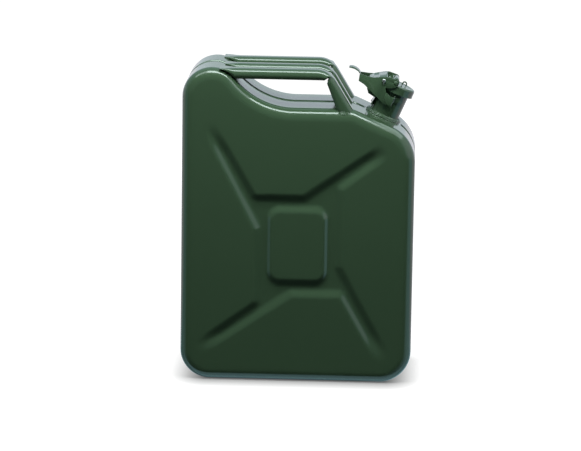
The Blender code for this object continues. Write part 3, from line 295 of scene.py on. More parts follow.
FLAT_ROUND_NECK = 30 * MM
CHANNEL_FADE = 8 * MM


def channel_share(base):
    """How far the seam channel is formed: none round the neck, all of it further off."""
    away = math.hypot(base.x - NECK_FOOT.x, base.z - NECK_FOOT.z)
    return clamped((away - FLAT_ROUND_NECK) / CHANNEL_FADE)


def off_outline(pen, inset, y):
    """Place function: a vertex's outline place, moved in by an amount of the channel's depth."""
    def place(vert):
        base = vert[pen.base]
        spot = base - vert[pen.outward] * inset * channel_share(base)
        return Vector((spot.x, y, spot.z))
    return place


# Places on the broad face in millimetres: x from the can's middle, z from the ground.
# Each panel between the cross's arms is given by its open border, the outer ends first and last.
CROSS_PANELS = (
    ((-131.3, 394.4), (-63.7, 278.9), (10.6, 278.9), (128, 362.3)),
    ((137, 351), (62, 295.5), (62, 175.9), (136, 44.2)),
    ((121.5, 40.2), (66.8, 135.7), (-7.8, 135.7), (-133.6, 48.8)),
    ((-141, 58.8), (-58, 119.4), (-58, 232.6), (-138.5, 384)),
)
CROSS_ARMS = (
    ((-58.5, 252.5), (-132, 384.3)),
    ((46.5, 294.5), (128.5, 353.7)),
    ((64, 156.5), (131, 39)),
    ((-37.5, 124.5), (-142.5, 49)),
)
ARM_HALF_WIDTH = 26
ARM_NARROWING = 0.14
ARM_NARROWED_BY = 0.25
ARM_FADE_START = 0.68
ARM_FADE_LENGTH = 0.36
PAD_LEFT, PAD_RIGHT, PAD_LOW, PAD_HIGH, PAD_CORNER = -41.4, 43.3, 151.5, 262.5, 17
PAD_LEVEL = 0.12
PAD_WALL_SHARE = 0.86
PAD_SIDE_NARROWING = 0.26
FAR_OFF = 1000
GRID_STEP = 2.1 * MM
GRID_COLUMNS, GRID_ROWS = 140, 197
GRID_X, GRID_Z = -1 * MM, 218 * MM
GRID_MARGIN = 4 * MM


def distance_to_panel(point, panel, corner):
    """Distance from a panel's border in millimetres, positive towards the pressed channel.

    The border's two inner corners are rounded, and its first and last sides run on past their ends.
    """
    corners = [Vector(pair) for pair in panel]
    sides = [(b - a).normalized() for a, b in zip(corners, corners[1:])]
    normals = [Vector((side.y, -side.x)) for side in sides]
    cuts = [corner * math.tan(a.angle(b) / 2) for a, b in zip(sides, sides[1:])]
    ends = [-FAR_OFF, *cuts, -FAR_OFF]
    found = []
    for index, side in enumerate(sides):
        offset = point - corners[index]
        reach = (corners[index + 1] - corners[index]).length
        if ends[index] <= offset.dot(side) <= reach - ends[index + 1]:
            found.append(offset.dot(normals[index]))
    for index, cut in enumerate(cuts):
        centre = corners[index + 1] - sides[index] * cut - normals[index] * corner
        offset = point - centre
        if offset.dot(sides[index]) >= 0 and offset.dot(sides[index + 1]) <= 0:
            found.append(offset.length - corner)
    return min(found, key=abs, default=FAR_OFF)


def pad_share(point, wall):
    """0 on the centre pad and 1 off it; the pad's side walls are narrower than the others."""
    x = max(PAD_LEFT + PAD_CORNER - point.x, point.x - PAD_RIGHT + PAD_CORNER)
    z = max(PAD_LOW + PAD_CORNER - point.y, point.y - PAD_HIGH + PAD_CORNER)
    off_corner = Vector((max(x, 0), max(z, 0)))
    away = off_corner.length + min(max(x, z), 0) - PAD_CORNER
    sideways = 1.0 if x > z else 0.0
    if off_corner.length > 0:
        sideways = (off_corner.x / off_corner.length) ** 2
    return eased(away / (wall * (PAD_WALL_SHARE - PAD_SIDE_NARROWING * sideways)) + 0.5)


def cross_depth(x, z, sizes):
    """How deep the face is pressed in at a point."""
    point = Vector((x / MM, z / MM))
    wall = sizes.cross_wall / MM
    scale = 1.0
    fade = 1.0
    for pair in CROSS_ARMS:
        start, end = Vector(pair[0]), Vector(pair[1])
        along = (end - start).normalized()
        way = (point - start).dot(along) / (end - start).length
        aside = abs((point - start).dot(Vector((along.y, -along.x))))
        if way > 0 and aside < ARM_HALF_WIDTH:
            scale = 1.0 - ARM_NARROWING * eased(way / ARM_NARROWED_BY)
            fade = 1.0 - eased((way - ARM_FADE_START) / ARM_FADE_LENGTH)
    share = 1.0
    for panel in CROSS_PANELS:
        away = distance_to_panel(point, panel, sizes.cross_corner / MM)
        share = min(share, eased(away / (wall * scale) + 0.5))
    pad = PAD_LEVEL + (1 - PAD_LEVEL) * pad_share(point, wall)
    return sizes.cross_depth * scale * share * fade * pad


def deep_inside(point, polygon, margin):
    """True for a point inside a polygon and at least the margin from its edges."""
    inside = False
    for a, b in zip(polygon, polygon[1:] + polygon[:1]):
        if (a.y > point.y) != (b.y > point.y):
            if point.x < (b.x - a.x) * (point.y - a.y) / (b.y - a.y) + a.x:
                inside = not inside
        side = b - a
        share = clamped((point - a).dot(side) / max(side.length_squared, 1e-12))
        if (a + side * share - point).length_squared < margin * margin:
            return False
    return inside


def press_cross(shape, face, sizes):
    """Fills the broad face with a fine grid and presses the cross into it."""
    border = list(face.edges)
    polygon = [Vector((vert.co.x, vert.co.z)) for vert in face.verts]
    centre = Vector((GRID_X, face.verts[0].co.y, GRID_Z))
    bmesh.ops.delete(shape, geom=[face], context="FACES_ONLY")
    turn = Matrix.Translation(centre) @ Matrix.Rotation(math.radians(90), 4, "X")
    spread = Matrix.Diagonal((GRID_COLUMNS * GRID_STEP, GRID_ROWS * GRID_STEP, 1, 1))
    grid = bmesh.ops.create_grid(shape, x_segments=GRID_COLUMNS, y_segments=GRID_ROWS, size=0.5,
                                 matrix=turn @ spread)["verts"]
    outside = [vert for vert in grid
               if not deep_inside(Vector((vert.co.x, vert.co.z)), polygon, GRID_MARGIN)]
    bmesh.ops.delete(shape, geom=outside, context="VERTS")
    kept = [vert for vert in grid if vert.is_valid]
    inner = set(kept)
    rim = [edge for edge in shape.edges if edge.is_boundary and edge.verts[0] in inner]
    filled = bmesh.ops.triangle_fill(shape, edges=border + rim, use_beauty=True,
                                     use_dissolve=False)["geom"]
    front = {item for item in filled if isinstance(item, bmesh.types.BMFace)}
    front.update(item for vert in kept for item in vert.link_faces)
    shape.normal_update()
    bmesh.ops.reverse_faces(shape, faces=[item for item in front if item.normal.y < 0])
    for vert in kept:
        vert.co.y -= cross_depth(vert.co.x, vert.co.z, sizes)


def half_can(sizes):
    """Outer skin of the far half: flange, seam channel, edge rounding and pressed face."""
    shape = bmesh.new()
    pen = draw_can_side(shape, sizes)
    lip = sizes.flange_gap + sizes.sheet
    deep = sizes.channel_depth
    low = deep - sizes.flange_height
    edge = sizes.channel_half
    foot = sizes.channel_half - sizes.channel_side
    radius = sizes.edge_radius
    side_end = sizes.depth / 2 - radius
    loop = list(shape.edges)
    for vert in shape.verts:
        vert.co.y = sizes.flange_gap
        vert.co -= vert[pen.outward] * low * channel_share(vert[pen.base])
    # Depth and y of the lines from flange to edge rounding; close pairs keep corners crisp.
    for inset, y in ((low, lip), (deep, lip), (deep, foot - 0.4 * MM),
                     (deep * 0.88, foot + 0.3 * MM), (deep * 0.12, edge - 0.5 * MM),
                     (0, edge + 0.3 * MM), (0, edge + 1.3 * MM), (0, side_end - 1.5 * MM),
                     (0, side_end)):
        loop = extend_loop(shape, loop, off_outline(pen, inset, y))
    face = bmesh.ops.contextual_create(shape, geom=loop)["faces"][0]
    bmesh.ops.recalc_face_normals(shape, faces=shape.faces)
    shape.normal_update()
    if face.normal.y < 0:
        bmesh.ops.reverse_faces(shape, faces=shape.faces)
    for step in range(EDGE_STEPS):
        start = math.pi / 2 * step / EDGE_STEPS
        end = math.pi / 2 * (step + 1) / EDGE_STEPS
        bmesh.ops.inset_individual(
            shape, faces=[face], thickness=radius * (math.cos(start) - math.cos(end)),
            depth=radius * (math.sin(end) - math.sin(start)), use_even_offset=True)
    press_cross(shape, face, sizes)
    return shape


class JERRYCAN_OT_halves(bpy.types.Operator):
    """Presses the can's two halves with their cross, rounded edges and seam channel"""

    bl_idname = "jerrycan.halves"
    bl_label = "Pressed halves"

    def execute(self, context):
        sizes = context.scene.jerrycan_body
        paint = enamel(context.scene.jerrycan_finish)
        for name, node in (("can_half_far", "shell_far"), ("can_half_near", "shell_near")):
            shape = half_can(sizes)
            if node == "shell_near":
                mirror_across(shape)
            piece = finish_piece(name, shape, paint, "can", node, 50)
            wall = piece.modifiers.new("Sheet", "SOLIDIFY")
            wall.thickness = sizes.sheet
            wall.offset = -1
            apply_modifiers(piece)
            drill(piece, NECK_HOLE_RADIUS, 50 * MM, 48, NECK_FRAME)
        return {"FINISHED"}


BEAD_SWELL, BEAD_SUNK = 0.22 * MM, 0.1 * MM
BEAD_RIPPLES = 260
BEAD_LONGEST, BEAD_CUTS = 4 * MM, 6


def along_bead(pen, inset, y, share):
    """Place function: a line along the weld bead, rippled by a share of the bead's swell."""
    def place(vert):
        base = vert[pen.base]
        ripple = BEAD_SWELL * noise.noise(base * BEAD_RIPPLES) * share
        return base - vert[pen.outward] * (inset + ripple) + Vector((0, y * MM, 0))
    return place


class JERRYCAN_OT_seam(bpy.types.Operator):
    """Lays the weld bead over the two flanges"""

    bl_idname = "jerrycan.seam"
    bl_label = "Seam weld"

    def execute(self, context):
        sizes = context.scene.jerrycan_body
        shape = bmesh.new()
        pen = draw_can_side(shape, sizes)
        long_edges = [edge for edge in shape.edges if edge.calc_length() > BEAD_LONGEST]
        bmesh.ops.subdivide_edges(shape, edges=long_edges, cuts=BEAD_CUTS)
        at_neck = [vert for vert in shape.verts if channel_share(vert[pen.base]) < 1]
        bmesh.ops.delete(shape, geom=at_neck, context="VERTS")
        low = sizes.channel_depth - sizes.flange_height - SEAT_GAP
        loop = list(shape.edges)
        first = set(shape.verts)
        for vert in shape.verts:
            vert.co = along_bead(pen, low, -1.7, 0)(vert)
        # Depth, y in millimetres and share of the swell of the lines round the bead.
        for inset, y, share in ((low, 1.7, 0), (low * 0.6, 1.7, 1), (0.35 * MM, 1.2, 1),
                                (0.2 * MM, 0.0, 1.5), (0.35 * MM, -1.2, 1),
                                (low * 0.6, -1.7, 1)):
            loop = extend_loop(shape, loop, along_bead(pen, inset + BEAD_SUNK, y, share))
        start = [edge for edge in shape.edges
                 if edge.is_boundary and first.issuperset(edge.verts)]
        bmesh.ops.bridge_loops(shape, edges=loop + start)
        ends = [edge for edge in shape.edges if edge.is_boundary]
        bmesh.ops.holes_fill(shape, edges=ends, sides=0)
        bmesh.ops.recalc_face_normals(shape, faces=shape.faces)
        paint = weld_enamel(context.scene.jerrycan_finish)
        finish_piece("seam_bead", shape, paint, "can", "seam_weld", 60)
        return {"FINISHED"}


def edge_drop(y, sizes):
    """How far the can's side surface has fallen at a depth position, by the edge rounding."""
    beyond = max(0.0, abs(y) - (sizes.depth / 2 - sizes.edge_radius))
    return sizes.edge_radius - math.sqrt(sizes.edge_radius ** 2 - beyond ** 2)


def hump_side(z, sizes):
    """X of the hump's falling side at a height, with the handle's gap."""
    rise = z - (sizes.height - sizes.hump_right)
    reach = math.sqrt((sizes.hump_right + SEAT_GAP) ** 2 - rise ** 2)
    return -sizes.width / 2 + sizes.hump_left + reach


def hump_top(x, sizes):
    """Height of the hump's falling side at an X, with the handle's gap."""
    across = x + sizes.width / 2 - sizes.hump_left
    rise = math.sqrt((sizes.hump_right + SEAT_GAP) ** 2 - across ** 2)
    return sizes.height - sizes.hump_right + rise


# The handle's bend in degrees from the grip, and its places in millimetres.
LEG_ANGLE = 58.6
GRIP_BEND = ((6, 0.2), (12, 0.4), (18, 0.6), (24, 0.8), (30, 1.0))
LEG_BEND = ((49, 0.06), (54, 0.12), (LEG_ANGLE, 0.18))
NOTCH_START, NOTCH_MIDDLE, NOTCH_END, HEEL_TURN = 36.5, 38.3, 40, 45
NOTCH_CORNER_X = 36.5
NOTCH_BRIDGE = 3.6
HEEL_X, HEEL_DROP = 40.4, 19.5
FOOT_X = 54.6
TIP_STEPS = 12


def handle_stations(top, sizes, can):
    """Outer and inner point of the side wall at each station, from the hump down to the foot."""
    stations = []
    low = top - sizes.wall
    first_x = hump_side(top - sizes.tip, can)
    full_x = hump_side(low, can)
    for step in range(TIP_STEPS + 1):
        x = first_x + (full_x - first_x) * step / TIP_STEPS
        stations.append((Vector((x, 0, top)), Vector((x, 0, max(low, hump_top(x, can))))))
    straight = Vector((sizes.bend_start, 0, low))
    stations.append((Vector((sizes.bend_start, 0, top)), straight))
    centre = Vector((sizes.bend_start, 0, top - sizes.bend_radius))

    def on_bend(turn):
        angle = math.radians(turn)
        return centre + Vector((math.sin(angle), 0, math.cos(angle))) * sizes.bend_radius

    corner = Vector((NOTCH_CORNER_X * MM, 0, low))
    inwards = (centre - on_bend(NOTCH_MIDDLE)).normalized()
    notch = on_bend(NOTCH_MIDDLE) + inwards * NOTCH_BRIDGE * MM
    heel = Vector((HEEL_X * MM, 0, top - HEEL_DROP * MM))
    foot = Vector((FOOT_X * MM, 0, can.recess + SEAT_GAP))
    for turn, share in GRIP_BEND:
        stations.append((on_bend(turn), straight.lerp(corner, share)))
    stations.append((on_bend(NOTCH_START), notch))
    stations.append((on_bend(NOTCH_END), notch + Vector((0.3 * MM, 0, -0.1 * MM))))
    stations.append((on_bend(HEEL_TURN), heel))
    for turn, share in LEG_BEND:
        stations.append((on_bend(turn), heel.lerp(foot, share)))
    leg = math.radians(LEG_ANGLE)
    along = Vector((math.cos(leg), 0, -math.sin(leg)))
    end = on_bend(LEG_ANGLE)
    stations.append((end + along * ((end.z - can.recess - SEAT_GAP) / math.sin(leg)), foot))
    return stations


CURL = math.radians(75)
CURL_STEPS = 5
RISE_START, RISE_LENGTH = 4 * MM, 8 * MM
# How much of the side's depth the sheet and the corner may take, and the corner's least size
# as a multiple of the sheet, where the channel starts thin on the hump.
SHEET_SHARE, CORNER_SHARE, LEAST_CORNER = 0.6, 0.56, 1.1


def channel_section(outer, inner, low_y, high_y, sizes, can, lean):
    """Places round the channel's wall at one station, over the top outside and back inside."""
    wall = (outer - inner).length
    sheet = min(sizes.sheet, wall * SHEET_SHARE)
    corner = max(min(sizes.corner, wall * CORNER_SHARE), sheet * LEAST_CORNER)
    roll = min(sizes.roll, wall - corner)
    middle, half = (low_y + high_y) / 2, (high_y - low_y) / 2
    creases = [middle + (half - corner) * step / 4 for step in range(-3, 4)]
    rise = sizes.rise * clamped((wall - RISE_START) / RISE_LENGTH)
    turns = [math.pi / 2 * step / CURL_STEPS for step in range(CURL_STEPS + 1)]
    curls = [CURL * step / CURL_STEPS for step in range(CURL_STEPS, -1, -1)]

    def side(inset):
        """Half the section at an inset into the sheet, from its lower edge to the flat top."""
        bend, curl = max(corner - inset, 0.1 * MM), max(roll - inset, 0.0)
        lower = [(roll - curl * math.cos(a), wall - roll + curl * math.sin(a)) for a in curls]
        if roll <= inset * 1.1:
            lower = [(inset, wall - roll * (1 - math.sin(a))) for a in curls]
        return lower + [(corner - bend * math.cos(a), corner - bend * math.sin(a)) for a in turns]

    outside, inside = side(0.0), side(sheet)
    places = [(low_y + y, sink) for y, sink in outside]
    places += [(y, 0.0) for y in creases]
    places += [(high_y - y, sink) for y, sink in reversed(outside)]
    places += [(high_y - y, sink) for y, sink in inside]
    places += [(y, sheet) for y in reversed(creases)]
    places += [(low_y + y, sink) for y, sink in reversed(inside)]
    loop = []
    for y, sink in places:
        top_share = clamped(1 - (sink - sheet) / corner)
        lowered = sink + rise * ((y - middle) / half) ** 2 * top_share
        spot = outer + (inner - outer) * (lowered / wall)
        if lean:
            spot = spot + lean * (edge_drop(y, can) / abs(lean.z))
        loop.append(Vector((spot.x, y, spot.z)))
    return loop


def close_section(shape, loop, order):
    """Closes the foot between the channel's outer and inner lines."""
    verts = {vert[order]: vert for edge in loop for vert in edge.verts}
    last = len(verts) - 1
    rungs = [shape.edges.new((verts[index], verts[last - index]))
             for index in range(1, len(verts) // 2 - 1)]
    bmesh.ops.edgenet_fill(shape, edges=loop + rungs)


def bent_channel(low_y, high_y, top, sizes, can):
    """One handle: a bent channel of pressed sheet with a notch in each side at the bend."""
    stations = handle_stations(top, sizes, can)
    shape = bmesh.new()
    order = shape.verts.layers.int.new("order")
    lean = (stations[-1][0] - stations[-2][0]).normalized()
    ring = []
    for index, spot in enumerate(channel_section(*stations[0], low_y, high_y, sizes, can, None)):
        vert = shape.verts.new(spot)
        vert[order] = index
        ring.append(vert)
    loop = [shape.edges.new((ring[i - 1], ring[i])) for i in range(len(ring))]
    bmesh.ops.contextual_create(shape, geom=loop)
    for number, (outer, inner) in enumerate(stations[1:], 2):
        at_foot = lean if number == len(stations) else None
        spots = channel_section(outer, inner, low_y, high_y, sizes, can, at_foot)
        loop = extend_loop(shape, loop, lambda vert, spots=spots: spots[vert[order]])
    close_section(shape, loop, order)
    bmesh.ops.recalc_face_normals(shape, faces=shape.faces)
    return shape


class JERRYCAN_OT_handles(bpy.types.Operator):
    """Bends the three handles from channel"""

    bl_idname = "jerrycan.handles"
    bl_label = "Handles"

    def execute(self, context):
        sizes = context.scene.jerrycan_handles
        can = context.scene.jerrycan_body
        paint = enamel(context.scene.jerrycan_finish)
        half = sizes.span / 2
        inner = half - sizes.outer_width
        centre = sizes.centre_width / 2
        for node, low, high, top in (("handle_far", inner, half, sizes.top),
                                     ("handle_near", inner, half, sizes.top),
                                     ("handle_centre", -centre, centre,
                                      sizes.top - sizes.centre_drop)):
            shape = bent_channel(low, high, top, sizes, can)
            if node == "handle_near":
                mirror_across(shape)
            finish_piece(node + "_channel", shape, paint, "can", node, 35)
        return {"FINISHED"}


def rounding(centre, radius, start, end, steps):
    """Points on an arc of a profile, in millimetres and degrees."""
    points = []
    for step in range(steps + 1):
        angle = math.radians(start + (end - start) * step / steps)
        points.append((centre[0] + radius * math.cos(angle), centre[1] + radius * math.sin(angle)))
    return points


# Radius and height of the points on each profile, in millimetres from the neck's foot.
NECK_PROFILE = (
    (21.0, -4), (22.5, -4), (22.5, 42.6), *rounding((23.4, 44.2), 1.5, -80, 0, 4),
    *rounding((23.2, 46.9), 1.8, 0, 90, 5), *rounding((22.6, 47.2), 1.6, 100, 180, 3))
NECK_BEAD_PROFILE = ((22.8, 0.45), (27.8, 0.45), *rounding((22.8, 0.45), 4.6, 5, 85, 6))
LID_PROFILE = (
    (0, 52.2), (26.0, 52.2), (26.6, 51.6), (26.6, 44.5), (27.1, 41.2), (27.6, 41.0),
    (28.2, 41.3), (27.8, 44.5), *rounding((24.8, 50.4), 3.0, 0, 90, 6), (21.0, 53.4),
    (20.0, 53.1), (17.0, 53.1), (0, 53.1))
BEAD_INNER, BEAD_SEAT, BEAD_LOW = 23.2 * MM, 0.8 * MM, 0.5 * MM
BEAD_LUMPS = ((330, 0.5), (760, 0.35))
BEAD_LUMP_HEIGHT = 0.9
RIVET_HOLE_RADIUS = 2.1 * MM
RIVET_X, RIVET_Y, RIVET_Z = -14.5, 6.5, 53


def turned(profile, steps=72, on_axis=False):
    """A profile spun about the upright axis."""
    shape = bmesh.new()
    verts = [shape.verts.new((radius * MM, 0, height * MM)) for radius, height in profile]
    edges = [shape.edges.new((verts[i - 1], verts[i]))
             for i in range(1 if on_axis else 0, len(verts))]
    bmesh.ops.spin(shape, geom=verts + edges, cent=(0, 0, 0), axis=(0, 0, 1), angle=2 * math.pi,
                   steps=steps, use_merge=True, use_duplicate=False)
    bmesh.ops.remove_doubles(shape, verts=shape.verts, dist=SAME_PLACE)
    bmesh.ops.recalc_face_normals(shape, faces=shape.faces)
    return shape


def set_on_neck(shape):
    """Moves a shape drawn about the upright axis into the neck's tilted frame."""
    bmesh.ops.transform(shape, matrix=NECK_FRAME, verts=shape.verts)
    return shape


class JERRYCAN_OT_neck(bpy.types.Operator):
    """Turns the neck with its rolled lip and lays the weld round its foot"""

    bl_idname = "jerrycan.neck"
    bl_label = "Neck"

    def execute(self, context):
        finish = context.scene.jerrycan_finish
        neck = set_on_neck(turned(NECK_PROFILE))
        finish_piece("neck_turned", neck, enamel(finish), "can", "neck_tube")
        bead = turned(NECK_BEAD_PROFILE, 120)
        for vert in bead.verts:
            reach = math.hypot(vert.co.x, vert.co.y)
            if reach > BEAD_INNER and vert.co.z > BEAD_SEAT:
                swell = sum(share * noise.noise(vert.co * scale) for scale, share in BEAD_LUMPS)
                outward = Vector((vert.co.x / reach, vert.co.y / reach, 1.0))
                vert.co += outward * swell * BEAD_LUMP_HEIGHT * MM
                vert.co.z = max(vert.co.z, BEAD_LOW)
        finish_piece("neck_bead", set_on_neck(bead), weld_enamel(finish), "can",
                     "neck_weld", 60)
        return {"FINISHED"}


class JERRYCAN_OT_lid(bpy.types.Operator):
    """Turns the lid with its flared skirt and drills its two rivet holes"""

    bl_idname = "jerrycan.lid"
    bl_label = "Lid"

    def execute(self, context):
        paint = enamel(context.scene.jerrycan_finish)
        lid = set_on_neck(turned(LID_PROFILE, on_axis=True))
        piece = finish_piece("lid_turned", lid, paint, "cap", "lid")
        for y in (-RIVET_Y, RIVET_Y):
            place = Matrix.Translation((RIVET_X * MM, y * MM, RIVET_Z * MM))
            drill(piece, RIVET_HOLE_RADIUS, 8 * MM, 24, NECK_FRAME @ place)
        return {"FINISHED"}


NODE_SPACING = 220
NOISE_RANGE = (0.3, 0.7)


def add_node(tree, kind, inputs, **settings):
    """Adds a shader node in a row, sets its properties, and links or sets its inputs."""
    node = tree.nodes.new("ShaderNode" + kind)
    node.location = (-NODE_SPACING * len(tree.nodes), 0)
    for name, value in settings.items():
        setattr(node, name, value)
    for name, value in inputs.items():
        if isinstance(value, bpy.types.NodeSocket):
            tree.links.new(value, node.inputs[name])
        else:
            node.inputs[name].default_value = value
    return node.outputs


def add_ramp(tree, value, source, target, interpolation="SMOOTHSTEP"):
    """Maps a value from one range to another."""
    inputs = {"Value": value, "From Min": source[0], "From Max": source[1],
              "To Min": target[0], "To Max": target[1]}
    return add_node(tree, "MapRange", inputs, interpolation_type=interpolation)["Result"]


def add_mix(tree, factor, first, second):
    """Mixes two colours."""
    inputs = {"Factor": factor, "A": (*first, 1), "B": (*second, 1)}
    return add_node(tree, "Mix", inputs, data_type="RGBA")["Result"]


def add_math(tree, operation, *values, kind="Math"):
    """Works out a value or a vector from one or two others."""
    made = add_node(tree, kind, dict(enumerate(values)), operation=operation)
    return made["Value" if kind == "Math" or operation == "LENGTH" else "Vector"]


# Noise is given as scale, detail and roughness; a bump adds its strength and its height in
# millimetres, and lies over the one before it.
ENAMEL_PATCHES = (9.0, 3.0, 0.5)
ENAMEL_GLOSS = (35.0, 4.0, 0.5)
ENAMEL_ROUGH = (0.10, 0.15)
ENAMEL_BUMPS = ((14.0, 1.0, 0.5, 0.12, 1.2), (420.0, 2.0, 0.5, 0.10, 0.25))
WELD_LUMPS = (230.0, 3.0, 0.6, 1.0, 2.2)
ENAMEL_SHADER = {"IOR": 1.5, "Coat Weight": 0.25, "Coat Roughness": 0.06}
ZINC_CLOUDS = (160.0, 4.0, 0.5)
ZINC_ROUGH = (0.28, 0.42)
ZINC_BUMPS = ((900.0, 2.0, 0.5, 0.15, 0.1),)
ZINC_DARK = 0.75
RUBBER_CLOUDS = (120.0, 3.0, 0.5)
RUBBER_ROUGH = (0.6, 0.8)
RUBBER_BUMPS = ((120.0, 3.0, 0.5, 0.2, 0.2),)
RUBBER_LIGHT = 1.8


def build_material(name, colors, patches, gloss, rough, bumps, settings):
    """Makes a finish: two colours in patches, uneven gloss, and bumps one over another."""
    material = bpy.data.materials.get(name)
    if material:
        return material
    material = bpy.data.materials.new(name)
    material.use_nodes = True
    tree = material.node_tree
    shader = tree.nodes["Principled BSDF"]
    spot = add_node(tree, "TexCoord", {})["Object"]

    def add_noise(*values):
        inputs = dict(zip(("Scale", "Detail", "Roughness"), values), Vector=spot)
        return add_node(tree, "TexNoise", inputs)["Fac"]

    tint = add_mix(tree, add_noise(*patches), *colors)
    dull = add_ramp(tree, add_noise(*gloss), NOISE_RANGE, rough, "LINEAR")
    below = {}
    for *texture, strength, height in bumps:
        below = {"Normal": add_node(tree, "Bump", {
            "Strength": strength, "Distance": height * MM, "Height": add_noise(*texture),
            **below})["Normal"]}
    for socket, source in (("Base Color", tint), ("Roughness", dull), *below.items()):
        tree.links.new(source, shader.inputs[socket])
    for socket, value in settings.items():
        shader.inputs[socket].default_value = value
    return material


def enamel(finish, name="green_enamel", bumps=ENAMEL_BUMPS):
    """Glossy dark green paint with orange peel, slight waves in the sheet and uneven gloss."""
    return build_material(name, (finish.paint, finish.paint_light), ENAMEL_PATCHES,
                          ENAMEL_GLOSS, ENAMEL_ROUGH, bumps, ENAMEL_SHADER)


def weld_enamel(finish):
    """The paint over a weld, with the weld's lumps showing through."""
    return enamel(finish, "weld_enamel", (*ENAMEL_BUMPS, WELD_LUMPS))


def zinc(finish):
    """Zinc-plated steel with fine marks."""
    dark = [value * ZINC_DARK for value in finish.steel]
    return build_material("zinc_steel", (finish.steel, dark), ZINC_CLOUDS, ZINC_CLOUDS,
                          ZINC_ROUGH, ZINC_BUMPS, {"Metallic": 0.6})


def rubber(finish):
    """Black rubber of the gasket."""
    light = [value * RUBBER_LIGHT for value in finish.rubber]
    return build_material("gasket_rubber", (finish.rubber, light), RUBBER_CLOUDS,
                          RUBBER_CLOUDS, RUBBER_ROUGH, RUBBER_BUMPS, {})


def softened_copy(node, width, segments=2):
    """Copy of a CAD node with its doubles merged and its edges rounded off."""
    shape = bmesh.new()
    shape.from_mesh(frame["nodes"][node].data)
    bmesh.ops.remove_doubles(shape, verts=shape.verts, dist=SAME_PLACE)
    bmesh.ops.dissolve_limit(shape, angle_limit=FLAT_ANGLE, verts=shape.verts, edges=shape.edges)
    sharp = [edge for edge in shape.edges
             if edge.is_manifold and edge.calc_face_angle() > SHARP_ANGLE]
    bmesh.ops.bevel(shape, geom=sharp, offset=width, offset_type="OFFSET", segments=segments,
                    profile=0.5, affect="EDGES", material=-1, clamp_overlap=True)
    return shape


BODY_OF = {node: body for body, nodes in frame["record"]["behaviour"]["bodies"].items()
           for node in nodes}

# Nodes that keep their form, with the rounding of their edges in millimetres.
SMALL_PARTS = (
    ("hook_bracket_near", 0.55), ("hook_bracket_far", 0.55), ("trunnion_near", 0.3),
    ("trunnion_far", 0.3), ("lid_carrier", 0.25), ("closing_lever", 0.25),
    ("lid_rivet_near", 0.25), ("lid_rivet_far", 0.25), ("pivot_pin", 0.2),
    ("foot_weld_near", 0.6), ("foot_weld_far", 0.6),
)
EAR_CUT = (NECK_FRAME @ Matrix.Rotation(math.radians(9), 4, "Y")
           @ Matrix.Translation((-46.5 * MM, 0, -2.0 * MM))
           @ Matrix.Diagonal((0.04, 0.06, 0.04, 1)))
PIN_SLIMMING = 0.78


class JERRYCAN_OT_closure(bpy.types.Operator):
    """Rounds the edges of the lever, carrier, hooks, rivets and foot welds"""

    bl_idname = "jerrycan.closure"
    bl_label = "Lever and brackets"

    def execute(self, context):
        paint = enamel(context.scene.jerrycan_finish)
        welded = weld_enamel(context.scene.jerrycan_finish)
        for node, width in SMALL_PARTS:
            finish_piece(node + "_dressed", softened_copy(node, width * MM),
                         welded if "weld" in node else paint, BODY_OF[node], node)
        return {"FINISHED"}


class JERRYCAN_OT_hinge(bpy.types.Operator):
    """Cuts the hinge bracket's ears short below the pin and slims the safety pin"""

    bl_idname = "jerrycan.hinge"
    bl_label = "Hinge bracket and safety pin"

    def execute(self, context):
        finish = context.scene.jerrycan_finish
        ears = softened_copy("hinge_bracket", 0.25 * MM)
        bracket = finish_piece("hinge_bracket_dressed", ears, enamel(finish), "can",
                               "hinge_bracket")
        below = bmesh.new()
        bmesh.ops.create_cube(below, size=1, matrix=EAR_CUT)
        carve(bracket, below)
        shade(bracket.data)
        pin = softened_copy("safety_pin", 0.2 * MM, segments=3)
        low = Vector([min(vert.co[axis] for vert in pin.verts) for axis in range(3)])
        high = Vector([max(vert.co[axis] for vert in pin.verts) for axis in range(3)])
        bmesh.ops.scale(pin, vec=(PIN_SLIMMING, 1, PIN_SLIMMING), verts=pin.verts,
                        space=Matrix.Translation((low + high) / -2))
        finish_piece("safety_pin_dressed", pin, zinc(finish), "pin", "safety_pin")
        return {"FINISHED"}


class JERRYCAN_OT_carried_over(bpy.types.Operator):
    """Gives the solids that stay their finishes"""

    bl_idname = "jerrycan.carried_over"
    bl_label = "Finishes of the kept solids"

    def execute(self, context):
        finish = context.scene.jerrycan_finish
        looks = {"zinc_steel": zinc(finish), "black_rubber": rubber(finish),
                 "green_paint": enamel(finish)}
        slots = {item["node"]: item["material_slot"] for item in frame["record"]["subparts"]}
        for node, solid in frame["nodes"].items():
            if not solid.hide_render:
                for slot in solid.material_slots:
                    slot.material = looks[slots[node]]
        return {"FINISHED"}


# Half sizes of the box under the can from which its painted shadow fades, and how far it reaches.
PAINTED_SHADOW_BOX = (0.1285, 0.0625, 0)
PAINTED_SHADOW_REACH = 0.068


def split_rays(tree, lights, mirrored, seen, output):
    """Gives the camera, the reflections and the rest of the light each a shader of their own."""
    path = add_node(tree, "LightPath", {})
    unseen = add_node(tree, "MixShader", {
        0: path["Is Glossy Ray"], 1: lights[0], 2: mirrored[0]})
    direct = add_math(tree, "MAXIMUM", path["Is Camera Ray"], path["Is Transmission Ray"])
    both = add_node(tree, "MixShader", {0: direct, 1: unseen[0], 2: seen[0]})
    tree.links.new(both[0], tree.nodes[output].inputs["Surface"])


